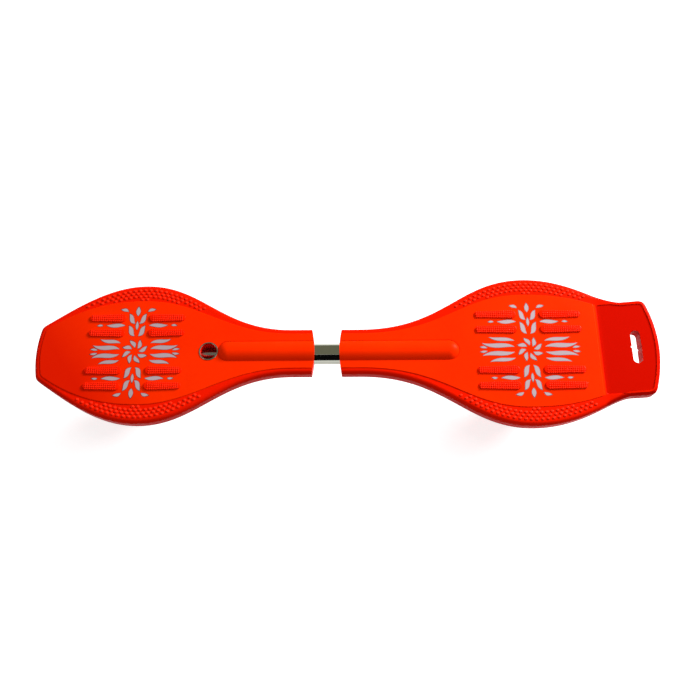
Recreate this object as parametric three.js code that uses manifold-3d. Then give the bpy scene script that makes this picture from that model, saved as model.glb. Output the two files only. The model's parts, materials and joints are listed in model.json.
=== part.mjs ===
// Caster board: two moulded decks joined by a steel tube and a torsion bar, each on one sloped swivel caster.
// Units are millimetres. X runs along the board with the nose at -X, Y runs across it and Z is up.
import * as THREE from "three";
import { mergeVertices } from "three/addons/utils/BufferGeometryUtils.js";
import Module from "manifold-3d";

const wasm = await Module();
wasm.setup();

// Overall sizes
const frontDeckLength = 387;
const neckGap = 34.5;
const rearDeckLength = 438.5;

// Clearances and the overrun of every cut
const seatGap = 0.3;
const runningGap = 0.5;
const overrun = 5;
const samePoint = 0.01;

// Deck mouldings
const frontDeckWidth = 203;
const rearDeckWidth = 216;
const noseWidth = 88;
const noseBow = 3;
const noseCorner = 10;
const tailWidth = 138;
const tailBow = 8.5;
const tailCorner = 12;
const neckWidth = 66;
const neckBow = 3.5;
const deckWall = 4.5;
const skirtDepth = 18;
const edgeRadius = 5;
const ribWall = 3;
const ribDepth = 10;
const ribOffset = 40;
const ribPitch = 52;

// Kick and its carrying slot
const kickReach = 75.5;
const kickRoot = 8;
const kickAngle = THREE.MathUtils.degToRad(12);
const slotLength = 47;
const slotWidth = 12;
const slotFromTail = 30;
const slotNotch = 1.5;

// Raised grip bars
const frontBarLength = 51;
const rearBarLength = 58.5;
const barInnerWidth = 12;
const barOuterWidth = 9.6;
const barHeight = 2.5;
const barGap = 32;
const frontBarRow = 27.5;
const rearBarRow = 29.8;
const barRowPitch = 22.4;
const frontBarsFromNose = 138.5;
const rearBarsFromNeck = 264;

// Tube housing, ridge and access hole
const tubeAxisDrop = 14.5;
const housingRadius = 20;
const frontRidgeFromAccess = 27;
const rearRidgeFromTube = 15.5;
const frontHousingWall = 3.7;
const rearHousingWall = 5.2;
const accessFromTube = 19.5;
const accessRadius = 11.5;
const accessFloor = 4.5;
const accessRingWall = 1.7;
const accessRingHeight = 1.4;
const accessRingProud = 0.7;

// Torsion tube and bar
const tubeRadius = 15;
const tubeWall = 2;
const frontTubeReach = 127;
const rearTubeReach = 136.5;
const barRadius = 5.5;
const plugLength = 12;
const plugInset = 1;
const bushWall = 2.3;
const outerBushLength = 20;
const outerBushInset = 4;
const innerBushLength = 20;
const innerBushInset = 7.5;
const boreEndGap = 2;

// Anchor blocks of the bar and their screws
const anchorLength = 16;
const anchorHeight = 20.5;
const anchorRise = 9;
const frontAnchorFromAccess = 23.5;
const rearAnchorFromTube = 18;
const anchorScrewRadius = 2;
const anchorScrewWall = 1.3;
const anchorScrewGrip = 3.5;
const anchorHeadRadius = 3.6;
const anchorHeadHeight = 2.6;

// Bolts that hold the tube in the front neck
const tubeBoltFromEnd = 31;
const tubeBoltPitch = 56;
const tubeBoltRadius = 3;
const tubeBoltHeadRadius = 5.6;
const tubeBoltHeadHeight = 4;
const tubeBoltReach = 2;
const tubeBoltSeat = 2;

// Casters: the kingpin leans back, and the axle trails behind it
const casterTilt = THREE.MathUtils.degToRad(30);
const casterTrail = 28;
const casterReach = 82;
const casterFaceDrop = 23;
const frontCasterFromNeck = 272;
const rearCasterFromNeck = 240.5;
const bossLength = 64;
const bossWidth = 60;
const plateLength = 58;
const plateWidth = 50;
const plateCorner = 7;
const plateThickness = 4;
const plateScrewAlong = 21.5;
const plateScrewAcross = 18;
const plateScrewRadius = 2.4;
const plateScrewHeadRadius = 4.6;
const plateScrewHeadHeight = 2.8;
const plateScrewGrip = 10;
const kingpinRadius = 5;
const kingpinHeadRadius = 8.5;
const kingpinHeadHeight = 5;
const kingpinNutHeight = 8;
const kingpinNutAcross = 17;
const kingpinTail = 1.5;
const upperBearingHeight = 7;
const lowerBearingHeight = 5;

// Fork
const forkThickness = 3;
const crownThickness = 4;
const crownHalfLength = 18;
const crownCorner = 6;
const forkSideGap = 3.5;
const axleEyeRadius = 11;
const axlePadRadius = 8;

// Axle
const axleRadius = 4;
const axleHeadAcross = 13;
const axleHeadHeight = 5.3;
const axleNutHeight = 7.5;
const axleTail = 1.5;

// Wheel
const wheelDiameter = 76;
const wheelWidth = 24;
const tyreShoulder = 6;
const hubRadius = 22;
const hubGrooveInner = 14;
const hubGrooveOuter = 19.5;
const hubGrooveDepth = 8.5;
const bearingRadius = 11;
const bearingWidth = 7;
const bearingInset = 0.7;
const spacerWall = 2;
const hubShoulder = 3;

// Numbers of facets
const outlineSteps = 5;
const bowSteps = 3;
const roundSteps = 16;
const bearingSteps = 14;
const tubeSteps = 20;
const hubSteps = 24;
const wheelSteps = 36;
const tyreSteps = 6;
const sphereSteps = 6;
const screwSteps = 8;
const hexSides = 6;
const edgeSteps = 2;
const barEndSteps = 3;

// Outline shares: along the deck's length, and across from neck or nose to full width
const frontRiseShare = 0.138;
const frontSwellShare = 0.706;
const frontTopStartShare = 0.248;
const frontWidestShare = 0.381;
const frontTopEndShare = 0.585;
const frontPinchShare = 0.662;
const frontNeckShare = 0.916;
const rearNeckShare = 0.0663;
const rearPinchShare = 0.341;
const rearTopStartShare = 0.388;
const rearWidestShare = 0.601;
const rearTopEndShare = 0.756;
const rearWaistShare = 0.85;
const rearTailShare = 0.9075;
const cornerAlongShare = 0.2;
const cornerAcrossShare = 0.3;
const cornerRunShare = 0.9;

// Places that follow from the sizes
const boardLength = frontDeckLength + neckGap + rearDeckLength;
const noseX = -boardLength / 2;
const tailX = boardLength / 2;
const frontNeckX = noseX + frontDeckLength;
const rearNeckX = tailX - rearDeckLength;
const creaseX = tailX - kickReach;
const wheelRadius = wheelDiameter / 2;
const casterFaceZ = wheelRadius + casterReach * Math.cos(casterTilt) - casterTrail * Math.sin(casterTilt);
const standingHeight = casterFaceZ + casterFaceDrop;
const axisZ = standingHeight - tubeAxisDrop;
const skirtZ = standingHeight - skirtDepth;
const wallZ = standingHeight - deckWall;
const boreRadius = tubeRadius + seatGap;
const bushOuterRadius = boreRadius + bushWall;
const barBoreRadius = barRadius + seatGap;
const anchorScrewOffset = barBoreRadius + anchorScrewWall + seatGap + anchorScrewRadius;
const anchorWidth = 2 * (anchorScrewOffset + anchorHeadRadius);
const legInnerY = wheelWidth / 2 + forkSideGap;
const legOuterY = legInnerY + forkThickness;
const swivelBearingRadius = legInnerY - runningGap;

// Caster heights along the kingpin, from the boss face downwards
const plateTop = -seatGap;
const plateBottom = plateTop - plateThickness;
const upperBearingTop = plateBottom - seatGap;
const crownTop = upperBearingTop - upperBearingHeight - seatGap;
const crownBottom = crownTop - crownThickness;
const lowerBearingTop = crownBottom - seatGap;
const kingpinNutTop = lowerBearingTop - lowerBearingHeight - seatGap;
const kingpinBottom = kingpinNutTop - kingpinNutHeight - kingpinTail;

// Materials
function finish(color, roughness, metalness) {
  return new THREE.MeshStandardMaterial({ color, roughness, metalness });
}
const deckPlastic = finish(0xee2a04, 0.32, 0);
const chrome = finish(0xd4d6d2, 0.12, 1);
const springSteel = finish(0x8c8f94, 0.3, 1);
const zincSteel = finish(0xb4b8bb, 0.34, 1);
const blackSteel = finish(0x26282b, 0.42, 0.6);
const nylon = finish(0xe6e3da, 0.5, 0);
const tyreRubber = finish(0x1d1e20, 0.55, 0);

// Solids: shapes become closed solids for joining and cutting, then meshes
function solid(geometry) {
  geometry.deleteAttribute("normal");
  geometry.deleteAttribute("uv");
  const merged = mergeVertices(geometry);
  const vertProperties = merged.attributes.position.array;
  const triVerts = new Uint32Array(merged.index.array);
  return new wasm.Manifold(new wasm.Mesh({ numProp: 3, vertProperties, triVerts }));
}

function join(first, ...others) {
  return others.reduce((whole, other) => whole.add(other), first);
}

function cut(first, ...others) {
  return others.reduce((whole, other) => whole.subtract(other), first);
}

function surface(shape) {
  const mesh = shape.getMesh();
  const geometry = new THREE.BufferGeometry();
  geometry.setAttribute("position", new THREE.BufferAttribute(mesh.vertProperties, mesh.numProp));
  geometry.setIndex(new THREE.BufferAttribute(mesh.triVerts, 1));
  return geometry;
}

function placed(shape, matrix) {
  return solid(surface(shape).applyMatrix4(matrix));
}

function piece(name, shape, material) {
  const result = new THREE.Mesh(surface(shape), material);
  result.name = name;
  return result;
}

function block(low, high, matrix = new THREE.Matrix4()) {
  const geometry = new THREE.BoxGeometry(high[0] - low[0], high[1] - low[1], high[2] - low[2]);
  geometry.translate((low[0] + high[0]) / 2, (low[1] + high[1]) / 2, (low[2] + high[2]) / 2);
  return solid(geometry.applyMatrix4(matrix));
}

// A turned solid round Z from half-section points of radius and height
function turned(points, steps, matrix = new THREE.Matrix4()) {
  const geometry = new THREE.LatheGeometry(points.map(([r, z]) => new THREE.Vector2(r, z)), steps);
  geometry.rotateX(Math.PI / 2);
  return solid(geometry.applyMatrix4(matrix));
}

function rod(radius, bottom, top, steps = roundSteps, matrix = new THREE.Matrix4()) {
  return turned([[0, bottom], [radius, bottom], [radius, top], [0, top]], steps, matrix);
}

function sleeve(inner, outer, bottom, top, steps = roundSteps, matrix = new THREE.Matrix4()) {
  const section = [[outer, bottom], [outer, top], [inner, top], [inner, bottom], [outer, bottom]];
  return turned(section, steps, matrix);
}

// Turns Z onto +X at the tube's axis, so heights of a turned solid become X
const alongTube = new THREE.Matrix4().makeTranslation(0, 0, axisZ)
  .multiply(new THREE.Matrix4().makeRotationY(Math.PI / 2));

// Turns Z onto +Y, for the axle
const acrossBoard = new THREE.Matrix4().makeRotationX(-Math.PI / 2);

function prism(points, bottom, top, matrix = new THREE.Matrix4()) {
  const options = { depth: top - bottom, bevelEnabled: false };
  const geometry = new THREE.ExtrudeGeometry(new THREE.Shape(points), options);
  geometry.translate(0, 0, bottom);
  return solid(geometry.applyMatrix4(matrix));
}

// A side profile in X and Z, made as wide as given across the board
function sideProfile(shape, fromY, toY, matrix = new THREE.Matrix4()) {
  const options = { depth: toY - fromY, bevelEnabled: false, curveSegments: outlineSteps };
  const geometry = new THREE.ExtrudeGeometry(shape, options);
  geometry.rotateX(Math.PI / 2);
  geometry.translate(0, toY, 0);
  return solid(geometry.applyMatrix4(matrix));
}

// Points of a half outline above the centreline, mirrored into a closed one
function mirrored(path) {
  const upper = path.getPoints(outlineSteps);
  const lower = upper.slice(1, -1).map((point) => new THREE.Vector2(point.x, -point.y)).reverse();
  return [...upper, ...lower].reverse();
}

function frontOutline() {
  const half = frontDeckWidth / 2;
  const nose = noseWidth / 2;
  const neck = neckWidth / 2;
  const path = new THREE.Path();
  const cornerX = noseX + noseBow;
  path.moveTo(noseX, 0);
  path.quadraticCurveTo(noseX, nose / 2, cornerX, nose - noseCorner);
  path.quadraticCurveTo(cornerX + noseCorner * cornerAlongShare, nose - noseCorner * cornerAcrossShare,
    cornerX + noseCorner * cornerRunShare, nose);
  path.bezierCurveTo(noseX + frontDeckLength * frontRiseShare, half * frontSwellShare,
    noseX + frontDeckLength * frontTopStartShare, half, noseX + frontDeckLength * frontWidestShare, half);
  path.bezierCurveTo(noseX + frontDeckLength * frontTopEndShare, half,
    noseX + frontDeckLength * frontPinchShare, neck, noseX + frontDeckLength * frontNeckShare, neck);
  for (let step = bowSteps; step >= 0; step -= 1) {
    const share = step / bowSteps;
    path.lineTo(frontNeckX - neckBow * share ** 2, neck * share);
  }
  return mirrored(path);
}

function rearOutline() {
  const half = rearDeckWidth / 2;
  const tail = tailWidth / 2;
  const neck = neckWidth / 2;
  const path = new THREE.Path();
  const cornerX = tailX - tailBow;
  path.moveTo(rearNeckX, 0);
  for (let step = 1; step <= bowSteps; step += 1) {
    const share = step / bowSteps;
    path.lineTo(rearNeckX + neckBow * share ** 2, neck * share);
  }
  path.lineTo(rearNeckX + rearDeckLength * rearNeckShare, neck);
  path.bezierCurveTo(rearNeckX + rearDeckLength * rearPinchShare, neck,
    rearNeckX + rearDeckLength * rearTopStartShare, half, rearNeckX + rearDeckLength * rearWidestShare, half);
  path.bezierCurveTo(rearNeckX + rearDeckLength * rearTopEndShare, half,
    rearNeckX + rearDeckLength * rearWaistShare, tail, rearNeckX + rearDeckLength * rearTailShare, tail);
  path.lineTo(cornerX - tailCorner, tail);
  path.quadraticCurveTo(cornerX - tailCorner * cornerAlongShare, tail, cornerX, tail - tailCorner);
  path.quadraticCurveTo(tailX, (tail - tailCorner) / 2, tailX, 0);
  return mirrored(path);
}

// Moves every point of a closed outline inwards by a distance
function inset(points, distance) {
  return points.map((point, index) => {
    const before = points[(index + points.length - 1) % points.length];
    const after = points[(index + 1) % points.length];
    const first = new THREE.Vector2().subVectors(point, before).normalize();
    const second = new THREE.Vector2().subVectors(after, point).normalize();
    const normal = new THREE.Vector2(-first.y - second.y, first.x + second.x).normalize();
    const stretch = Math.max(normal.dot(new THREE.Vector2(-first.y, first.x)), Math.SQRT1_2);
    return new THREE.Vector2().copy(point).addScaledVector(normal, distance / stretch);
  });
}

// A slab rounded over along its top edge and square at the bottom
function slab(outline, bottom) {
  const geometry = new THREE.ExtrudeGeometry(new THREE.Shape(outline), {
    depth: standingHeight - edgeRadius - bottom,
    bevelThickness: edgeRadius,
    bevelSize: edgeRadius,
    bevelOffset: -edgeRadius,
    bevelSegments: edgeSteps,
  });
  geometry.translate(0, 0, bottom);
  return cut(solid(geometry), below(bottom));
}

// Everything lower than a height, over the whole board
function below(height) {
  const reach = boardLength;
  return block([-reach, -reach, -reach], [reach, reach, height]);
}

// Everything higher than a height
function above(height) {
  const reach = boardLength;
  return block([-reach, -reach, height], [reach, reach, height + reach]);
}

// Caster placement, with its origin on the boss face and Z up along the kingpin
function casterPlace(x) {
  return new THREE.Matrix4().makeTranslation(x, 0, casterFaceZ)
    .multiply(new THREE.Matrix4().makeRotationY(-casterTilt));
}

function casterBoss(x) {
  const place = casterPlace(x);
  const half = bossLength / 2;
  const low = [-half, -bossWidth / 2, 0];
  const high = [half, bossWidth / 2, standingHeight];
  const reach = half * Math.cos(casterTilt);
  const column = block([x - reach, -bossWidth, 0], [x + reach, bossWidth, wallZ + deckWall / 2]);
  return block(low, high, place).intersect(column);
}

// Room kept free of ribs below the boss face
function casterRoom(x) {
  const half = bossLength / 2;
  return block([-half, -bossWidth / 2, -casterReach], [half, bossWidth / 2, 0], casterPlace(x));
}

function plateScrewPlaces() {
  return [[1, 1], [1, -1], [-1, 1], [-1, -1]].map(([i, j]) => [i * plateScrewAlong, j * plateScrewAcross]);
}

function moved(x, y, z = 0) {
  return new THREE.Matrix4().makeTranslation(x, y, z);
}

// Pocket for the kingpin's head and holes for the plate's screws
function casterCuts(x) {
  const place = casterPlace(x);
  const headTop = kingpinHeadHeight + runningGap;
  const head = rod(kingpinHeadRadius + runningGap, -overrun, headTop, roundSteps, place);
  const screws = plateScrewPlaces().map(([along, across]) => {
    const matrix = place.clone().multiply(moved(along, across));
    return rod(plateScrewRadius + seatGap, -overrun, plateScrewGrip + runningGap, screwSteps, matrix);
  });
  return [head, ...screws];
}

// Grip bars in two columns and two rows a side, wider towards the middle of the deck's print
function gripBar(innerX, length, direction, y) {
  const inner = barInnerWidth / 2;
  const outer = barOuterWidth / 2;
  const outerX = direction * (length - inner - outer);
  const lean = Math.acos((inner - outer) / Math.abs(outerX));
  const points = [];
  for (let step = 0; step <= barEndSteps; step += 1) {
    const angle = -lean + (2 * lean * step) / barEndSteps;
    points.push(new THREE.Vector2(outerX + direction * outer * Math.cos(angle), outer * Math.sin(angle)));
  }
  for (let step = 0; step <= barEndSteps; step += 1) {
    const angle = lean + (2 * (Math.PI - lean) * step) / barEndSteps;
    points.push(new THREE.Vector2(direction * inner * Math.cos(angle), inner * Math.sin(angle)));
  }
  const place = moved(innerX + direction * inner, y);
  return prism(points, wallZ, standingHeight + barHeight, place);
}

function gripBars(centreX, length, rowInner) {
  const bars = [];
  for (const direction of [-1, 1]) {
    for (const side of [-1, 1]) {
      for (const row of [0, 1]) {
        const y = side * (rowInner + row * barRowPitch);
        bars.push(gripBar(centreX + (direction * barGap) / 2, length, direction, y));
      }
    }
  }
  return bars;
}

// Ribs under a deck: two along it and a row across, kept inside the skirt
function ribs(outline, fromX, toX) {
  const bottom = wallZ - ribDepth;
  const top = wallZ + deckWall / 2;
  const width = rearDeckWidth;
  const parts = [];
  for (const y of [-ribOffset, ribOffset]) {
    parts.push(block([fromX, y - ribWall / 2, bottom], [toX, y + ribWall / 2, top]));
  }
  const count = Math.floor((toX - fromX) / ribPitch - 1 / 2);
  for (let index = 0; index <= count; index += 1) {
    const x = fromX + ribWall + index * ribPitch;
    parts.push(block([x - ribWall / 2, -width, bottom], [x + ribWall / 2, width, top]));
  }
  return join(...parts).intersect(prism(inset(outline, deckWall / 2), bottom - overrun, top + overrun));
}

// Housing round the tube: a full round under the deck and a ridge with a domed end above it
function housing(outline, ridgeX, endX, neckX) {
  const side = Math.sign(neckX - endX);
  const pastX = neckX + side * overrun;
  const [low, high] = [Math.min(endX, pastX), Math.max(endX, pastX)];
  const [ridgeLow, ridgeHigh] = [Math.min(ridgeX, pastX), Math.max(ridgeX, pastX)];
  const lower = cut(rod(housingRadius, low, high, tubeSteps, alongTube), above(wallZ + deckWall / 2));
  const web = block([low, -housingRadius, axisZ], [high, housingRadius, wallZ + deckWall / 2]);
  const ridge = rod(housingRadius, ridgeLow, ridgeHigh, tubeSteps, alongTube);
  const dome = solid(new THREE.SphereGeometry(housingRadius, tubeSteps, sphereSteps)
    .rotateX(Math.PI / 2)
    .applyMatrix4(alongTube.clone().multiply(moved(0, 0, ridgeX))));
  const trimmed = prism(outline, 0, standingHeight + housingRadius);
  return join(lower, web, ridge, dome).intersect(trimmed);
}

function anchorPocket(centreX) {
  const halfWidth = anchorWidth / 2 + seatGap;
  const top = axisZ + anchorRise + seatGap;
  const pocket = block([centreX - anchorPocketReach, -halfWidth, 0],
    [centreX + anchorPocketReach, halfWidth, top]);
  const holeTop = top + anchorScrewGrip + runningGap;
  const screws = [-1, 1].map((side) => rod(anchorScrewRadius + seatGap, axisZ, holeTop, screwSteps,
    moved(centreX, side * anchorScrewOffset)));
  return [pocket, ...screws];
}

const tubeFrontX = frontNeckX - frontTubeReach;
const tubeRearX = rearNeckX + rearTubeReach;
const accessX = tubeFrontX - accessFromTube;
const anchorFrontX = accessX - frontAnchorFromAccess;
const anchorRearX = tubeRearX + rearAnchorFromTube;
const innerBushEndX = tubeRearX - innerBushInset;
const frontRidgeX = accessX + frontRidgeFromAccess;
const rearRidgeX = tubeRearX + rearRidgeFromTube;
const anchorPocketReach = anchorLength / 2 + seatGap;
const frontHousingX = anchorFrontX - anchorPocketReach - frontHousingWall;
const rearHousingX = anchorRearX + anchorPocketReach + rearHousingWall;
const frontCasterX = frontNeckX - frontCasterFromNeck;
const rearCasterX = rearNeckX + rearCasterFromNeck;
const tubeBoltXs = [tubeFrontX + tubeBoltFromEnd, tubeFrontX + tubeBoltFromEnd + tubeBoltPitch];
const tubeBoltSeatZ = axisZ - housingRadius + tubeBoltSeat;

function frontDeck() {
  const outline = frontOutline();
  const shell = cut(slab(outline, skirtZ), prism(inset(outline, deckWall), skirtZ - overrun, wallZ));
  const grid = cut(ribs(outline, noseX + noseBow + ribPitch / 2, frontHousingX), casterRoom(frontCasterX));
  const body = join(shell, grid,
    housing(outline, frontRidgeX, frontHousingX, frontNeckX),
    casterBoss(frontCasterX), ...gripBars(noseX + frontBarsFromNose, frontBarLength, frontBarRow));
  const tubeBore = rod(boreRadius, tubeFrontX - seatGap, frontNeckX + overrun, tubeSteps, alongTube);
  const barBore = rod(barBoreRadius, anchorFrontX, tubeFrontX, roundSteps, alongTube);
  const access = rod(accessRadius, axisZ - housingRadius + accessFloor, standingHeight + overrun, roundSteps,
    moved(accessX, 0));
  const ringSeat = rod(accessRadius + accessRingWall + seatGap,
    standingHeight + accessRingProud - accessRingHeight - seatGap, standingHeight + overrun, roundSteps,
    moved(accessX, 0));
  const bolts = tubeBoltXs.flatMap((x) => [
    rod(tubeBoltRadius + seatGap, 0, axisZ, screwSteps, moved(x, 0)),
    rod(tubeBoltHeadRadius + runningGap, 0, tubeBoltSeatZ, roundSteps, moved(x, 0)),
  ]);
  return cut(body, tubeBore, barBore, access, ringSeat, ...anchorPocket(anchorFrontX), ...bolts,
    ...casterCuts(frontCasterX));
}

// Turns the flat tail up about the crease into the kick
function kickPlace() {
  return new THREE.Matrix4().makeTranslation(creaseX, 0, standingHeight)
    .multiply(new THREE.Matrix4().makeRotationY(-kickAngle))
    .multiply(new THREE.Matrix4().makeScale(1 / Math.cos(kickAngle), 1, 1))
    .multiply(new THREE.Matrix4().makeTranslation(-creaseX, 0, -standingHeight));
}

function tailHalf(shape) {
  const reach = boardLength;
  const half = shape.intersect(block([creaseX - kickRoot, -reach, -reach], [reach, reach, reach]));
  return placed(half, kickPlace());
}

function flatHalf(shape) {
  const reach = boardLength;
  return shape.intersect(block([-reach, -reach, -reach], [creaseX, reach, reach]));
}

function carryingSlot() {
  const x = tailX - slotFromTail;
  const end = slotLength / 2 - slotWidth / 2;
  const shape = new THREE.Shape();
  shape.absarc(x, end, slotWidth / 2, 0, Math.PI);
  shape.lineTo(x - slotWidth / 2, slotNotch);
  shape.lineTo(x - slotWidth / 2 - slotNotch, 0);
  shape.lineTo(x - slotWidth / 2, -slotNotch);
  shape.absarc(x, -end, slotWidth / 2, Math.PI, 2 * Math.PI);
  shape.lineTo(x + slotWidth / 2, -slotNotch);
  shape.lineTo(x + slotWidth / 2 + slotNotch, 0);
  shape.lineTo(x + slotWidth / 2, slotNotch);
  return mergedPoints(shape.getPoints(barEndSteps));
}

function rearDeck() {
  const outline = rearOutline();
  const slabbed = slab(outline, skirtZ);
  const hollow = prism(inset(outline, deckWall), skirtZ - overrun, wallZ);
  const upright = prism(outline, 0, standingHeight + kickReach);
  const outer = join(flatHalf(slabbed), tailHalf(slabbed)).intersect(upright);
  const collar = prism(inset(carryingSlot(), -deckWall), 0, standingHeight + kickReach);
  const inner = prism(inset(outline, deckWall), 0, standingHeight + kickReach);
  const shell = cut(outer, flatHalf(hollow), tailHalf(hollow).intersect(inner));
  const slotWall = collar.intersect(tailHalf(slabbed));
  const flatRibs = ribs(outline, rearHousingX, tailX);
  const bentRibs = join(flatHalf(flatRibs), tailHalf(flatRibs)).intersect(upright);
  const grid = cut(bentRibs, casterRoom(rearCasterX));
  const body = join(shell, slotWall, grid,
    housing(outline, rearRidgeX, rearHousingX, rearNeckX),
    casterBoss(rearCasterX), ...gripBars(rearNeckX + rearBarsFromNeck, rearBarLength, rearBarRow));
  const bushBore = rod(bushOuterRadius + seatGap, rearNeckX - overrun, innerBushEndX + seatGap, tubeSteps,
    alongTube);
  const tubeBore = rod(tubeRadius + runningGap, rearNeckX, tubeRearX + boreEndGap, tubeSteps, alongTube);
  const barBore = rod(barBoreRadius, rearNeckX, anchorRearX, roundSteps, alongTube);
  const slot = prism(carryingSlot(), 0, standingHeight + kickReach);
  return cut(body, bushBore, tubeBore, barBore, slot, ...anchorPocket(anchorRearX),
    ...casterCuts(rearCasterX));
}

function torsionTube() {
  const tube = sleeve(tubeRadius - tubeWall, tubeRadius, tubeFrontX, tubeRearX, tubeSteps, alongTube);
  const holes = tubeBoltXs.map((x) => rod(tubeBoltRadius + seatGap, 0, axisZ, screwSteps, moved(x, 0)));
  return cut(tube, ...holes);
}

function torsionBar() {
  const half = anchorLength / 2;
  return rod(barRadius, anchorFrontX - half, anchorRearX + half, roundSteps, alongTube);
}

function tubePlug(fromX) {
  const outer = tubeRadius - tubeWall - seatGap;
  return sleeve(barBoreRadius, outer, fromX, fromX + plugLength, roundSteps, alongTube);
}

function neckBush(fromX, length) {
  return sleeve(boreRadius, bushOuterRadius, fromX, fromX + length, tubeSteps, alongTube);
}

function accessRing() {
  const top = standingHeight + accessRingProud;
  return sleeve(accessRadius, accessRadius + accessRingWall, top - accessRingHeight, top, roundSteps,
    moved(accessX, 0));
}

function anchorBlock(centreX) {
  const half = anchorLength / 2;
  const top = axisZ + anchorRise;
  const low = [centreX - half, -anchorWidth / 2, top - anchorHeight];
  const body = block(low, [centreX + half, anchorWidth / 2, top]);
  const bore = rod(barBoreRadius, centreX - anchorLength, centreX + anchorLength, roundSteps, alongTube);
  const holes = [-1, 1].map((side) => rod(anchorScrewRadius + seatGap, 0, top + overrun, screwSteps,
    moved(centreX, side * anchorScrewOffset)));
  return cut(body, bore, ...holes);
}

function anchorScrew(centreX, side) {
  const top = axisZ + anchorRise + anchorScrewGrip;
  const seat = axisZ + anchorRise - anchorHeight - seatGap;
  const section = [[0, seat - anchorHeadHeight], [anchorHeadRadius, seat - anchorHeadHeight],
    [anchorHeadRadius, seat], [anchorScrewRadius, seat], [anchorScrewRadius, top], [0, top]];
  return turned(section, screwSteps, moved(centreX, side * anchorScrewOffset));
}

function tubeBolt(x) {
  const seat = tubeBoltSeatZ - seatGap;
  const top = axisZ - tubeRadius + tubeWall + tubeBoltReach;
  const head = rod(tubeBoltHeadRadius, seat - tubeBoltHeadHeight, seat, hexSides, moved(x, 0));
  return join(head, rod(tubeBoltRadius, seat - seatGap, top, screwSteps, moved(x, 0)));
}

function addTwistJoint(board) {
  board.add(piece("torsion_tube", torsionTube(), chrome));
  board.add(piece("torsion_bar", torsionBar(), springSteel));
  board.add(piece("access_ring", accessRing(), chrome));
  board.add(piece("tube_plug_front", tubePlug(tubeFrontX + plugInset), nylon));
  board.add(piece("tube_plug_rear", tubePlug(tubeRearX - plugInset - plugLength), nylon));
  board.add(piece("outer_neck_bush", neckBush(rearNeckX + outerBushInset, outerBushLength), nylon));
  board.add(piece("inner_neck_bush", neckBush(innerBushEndX - innerBushLength, innerBushLength), nylon));
  for (const [name, x] of [["front", anchorFrontX], ["rear", anchorRearX]]) {
    board.add(piece(`${name}_anchor_block`, anchorBlock(x), zincSteel));
    board.add(piece(`${name}_anchor_screw_left`, anchorScrew(x, 1), zincSteel));
    board.add(piece(`${name}_anchor_screw_right`, anchorScrew(x, -1), zincSteel));
  }
  tubeBoltXs.forEach((x, index) => {
    board.add(piece(`tube_bolt_${index + 1}`, tubeBolt(x), zincSteel));
  });
}

function roundedRectangle(halfX, halfY, corner) {
  const shape = new THREE.Shape();
  shape.moveTo(halfX, corner - halfY);
  shape.absarc(halfX - corner, halfY - corner, corner, 0, Math.PI / 2);
  shape.absarc(corner - halfX, halfY - corner, corner, Math.PI / 2, Math.PI);
  shape.absarc(corner - halfX, corner - halfY, corner, Math.PI, -Math.PI / 2);
  shape.absarc(halfX - corner, corner - halfY, corner, -Math.PI / 2, 0);
  return mergedPoints(shape.getPoints(barEndSteps));
}

// Drops points that repeat the one before them
function mergedPoints(points) {
  return points.filter((point, index) => point.distanceTo(points[(index + 1) % points.length]) > samePoint);
}

function casterPlate() {
  const plate = prism(roundedRectangle(plateLength / 2, plateWidth / 2, plateCorner), plateBottom, plateTop);
  const holes = plateScrewPlaces().map(([x, y]) => rod(plateScrewRadius + seatGap, plateBottom - overrun,
    plateTop + overrun, screwSteps, moved(x, y)));
  return cut(plate, rod(kingpinRadius + seatGap, plateBottom - overrun, plateTop + overrun), ...holes);
}

function plateScrew(x, y) {
  const seat = plateBottom - seatGap;
  const low = seat - plateScrewHeadHeight;
  const section = [[0, low], [plateScrewHeadRadius / 2, low], [plateScrewHeadRadius, seat],
    [plateScrewRadius, seat], [plateScrewRadius, plateScrewGrip], [0, plateScrewGrip]];
  return turned(section, screwSteps, moved(x, y));
}

function kingpin() {
  const section = [[0, kingpinBottom], [kingpinRadius, kingpinBottom], [kingpinRadius, 0],
    [kingpinHeadRadius, 0], [kingpinHeadRadius, kingpinHeadHeight], [0, kingpinHeadHeight]];
  return turned(section, roundSteps);
}

function hexNut(across, bore, bottom, top, matrix = new THREE.Matrix4()) {
  const corner = across / 2 / Math.cos(Math.PI / hexSides);
  const body = rod(corner, bottom, top, hexSides, matrix);
  return cut(body, rod(bore, bottom - overrun, top + overrun, roundSteps, matrix));
}

// One leg of the fork, from the crown down to a round eye on the axle
function legShape() {
  const shape = new THREE.Shape();
  const tangent = (x, side) => {
    const along = x - casterTrail;
    const up = crownTop + casterReach;
    return Math.atan2(up, along) - side * Math.acos(axleEyeRadius / Math.hypot(along, up));
  };
  shape.moveTo(-crownHalfLength, crownTop);
  shape.lineTo(crownHalfLength, crownTop);
  shape.absarc(casterTrail, -casterReach, axleEyeRadius, tangent(crownHalfLength, 1),
    tangent(-crownHalfLength, -1), true);
  return shape;
}

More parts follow.
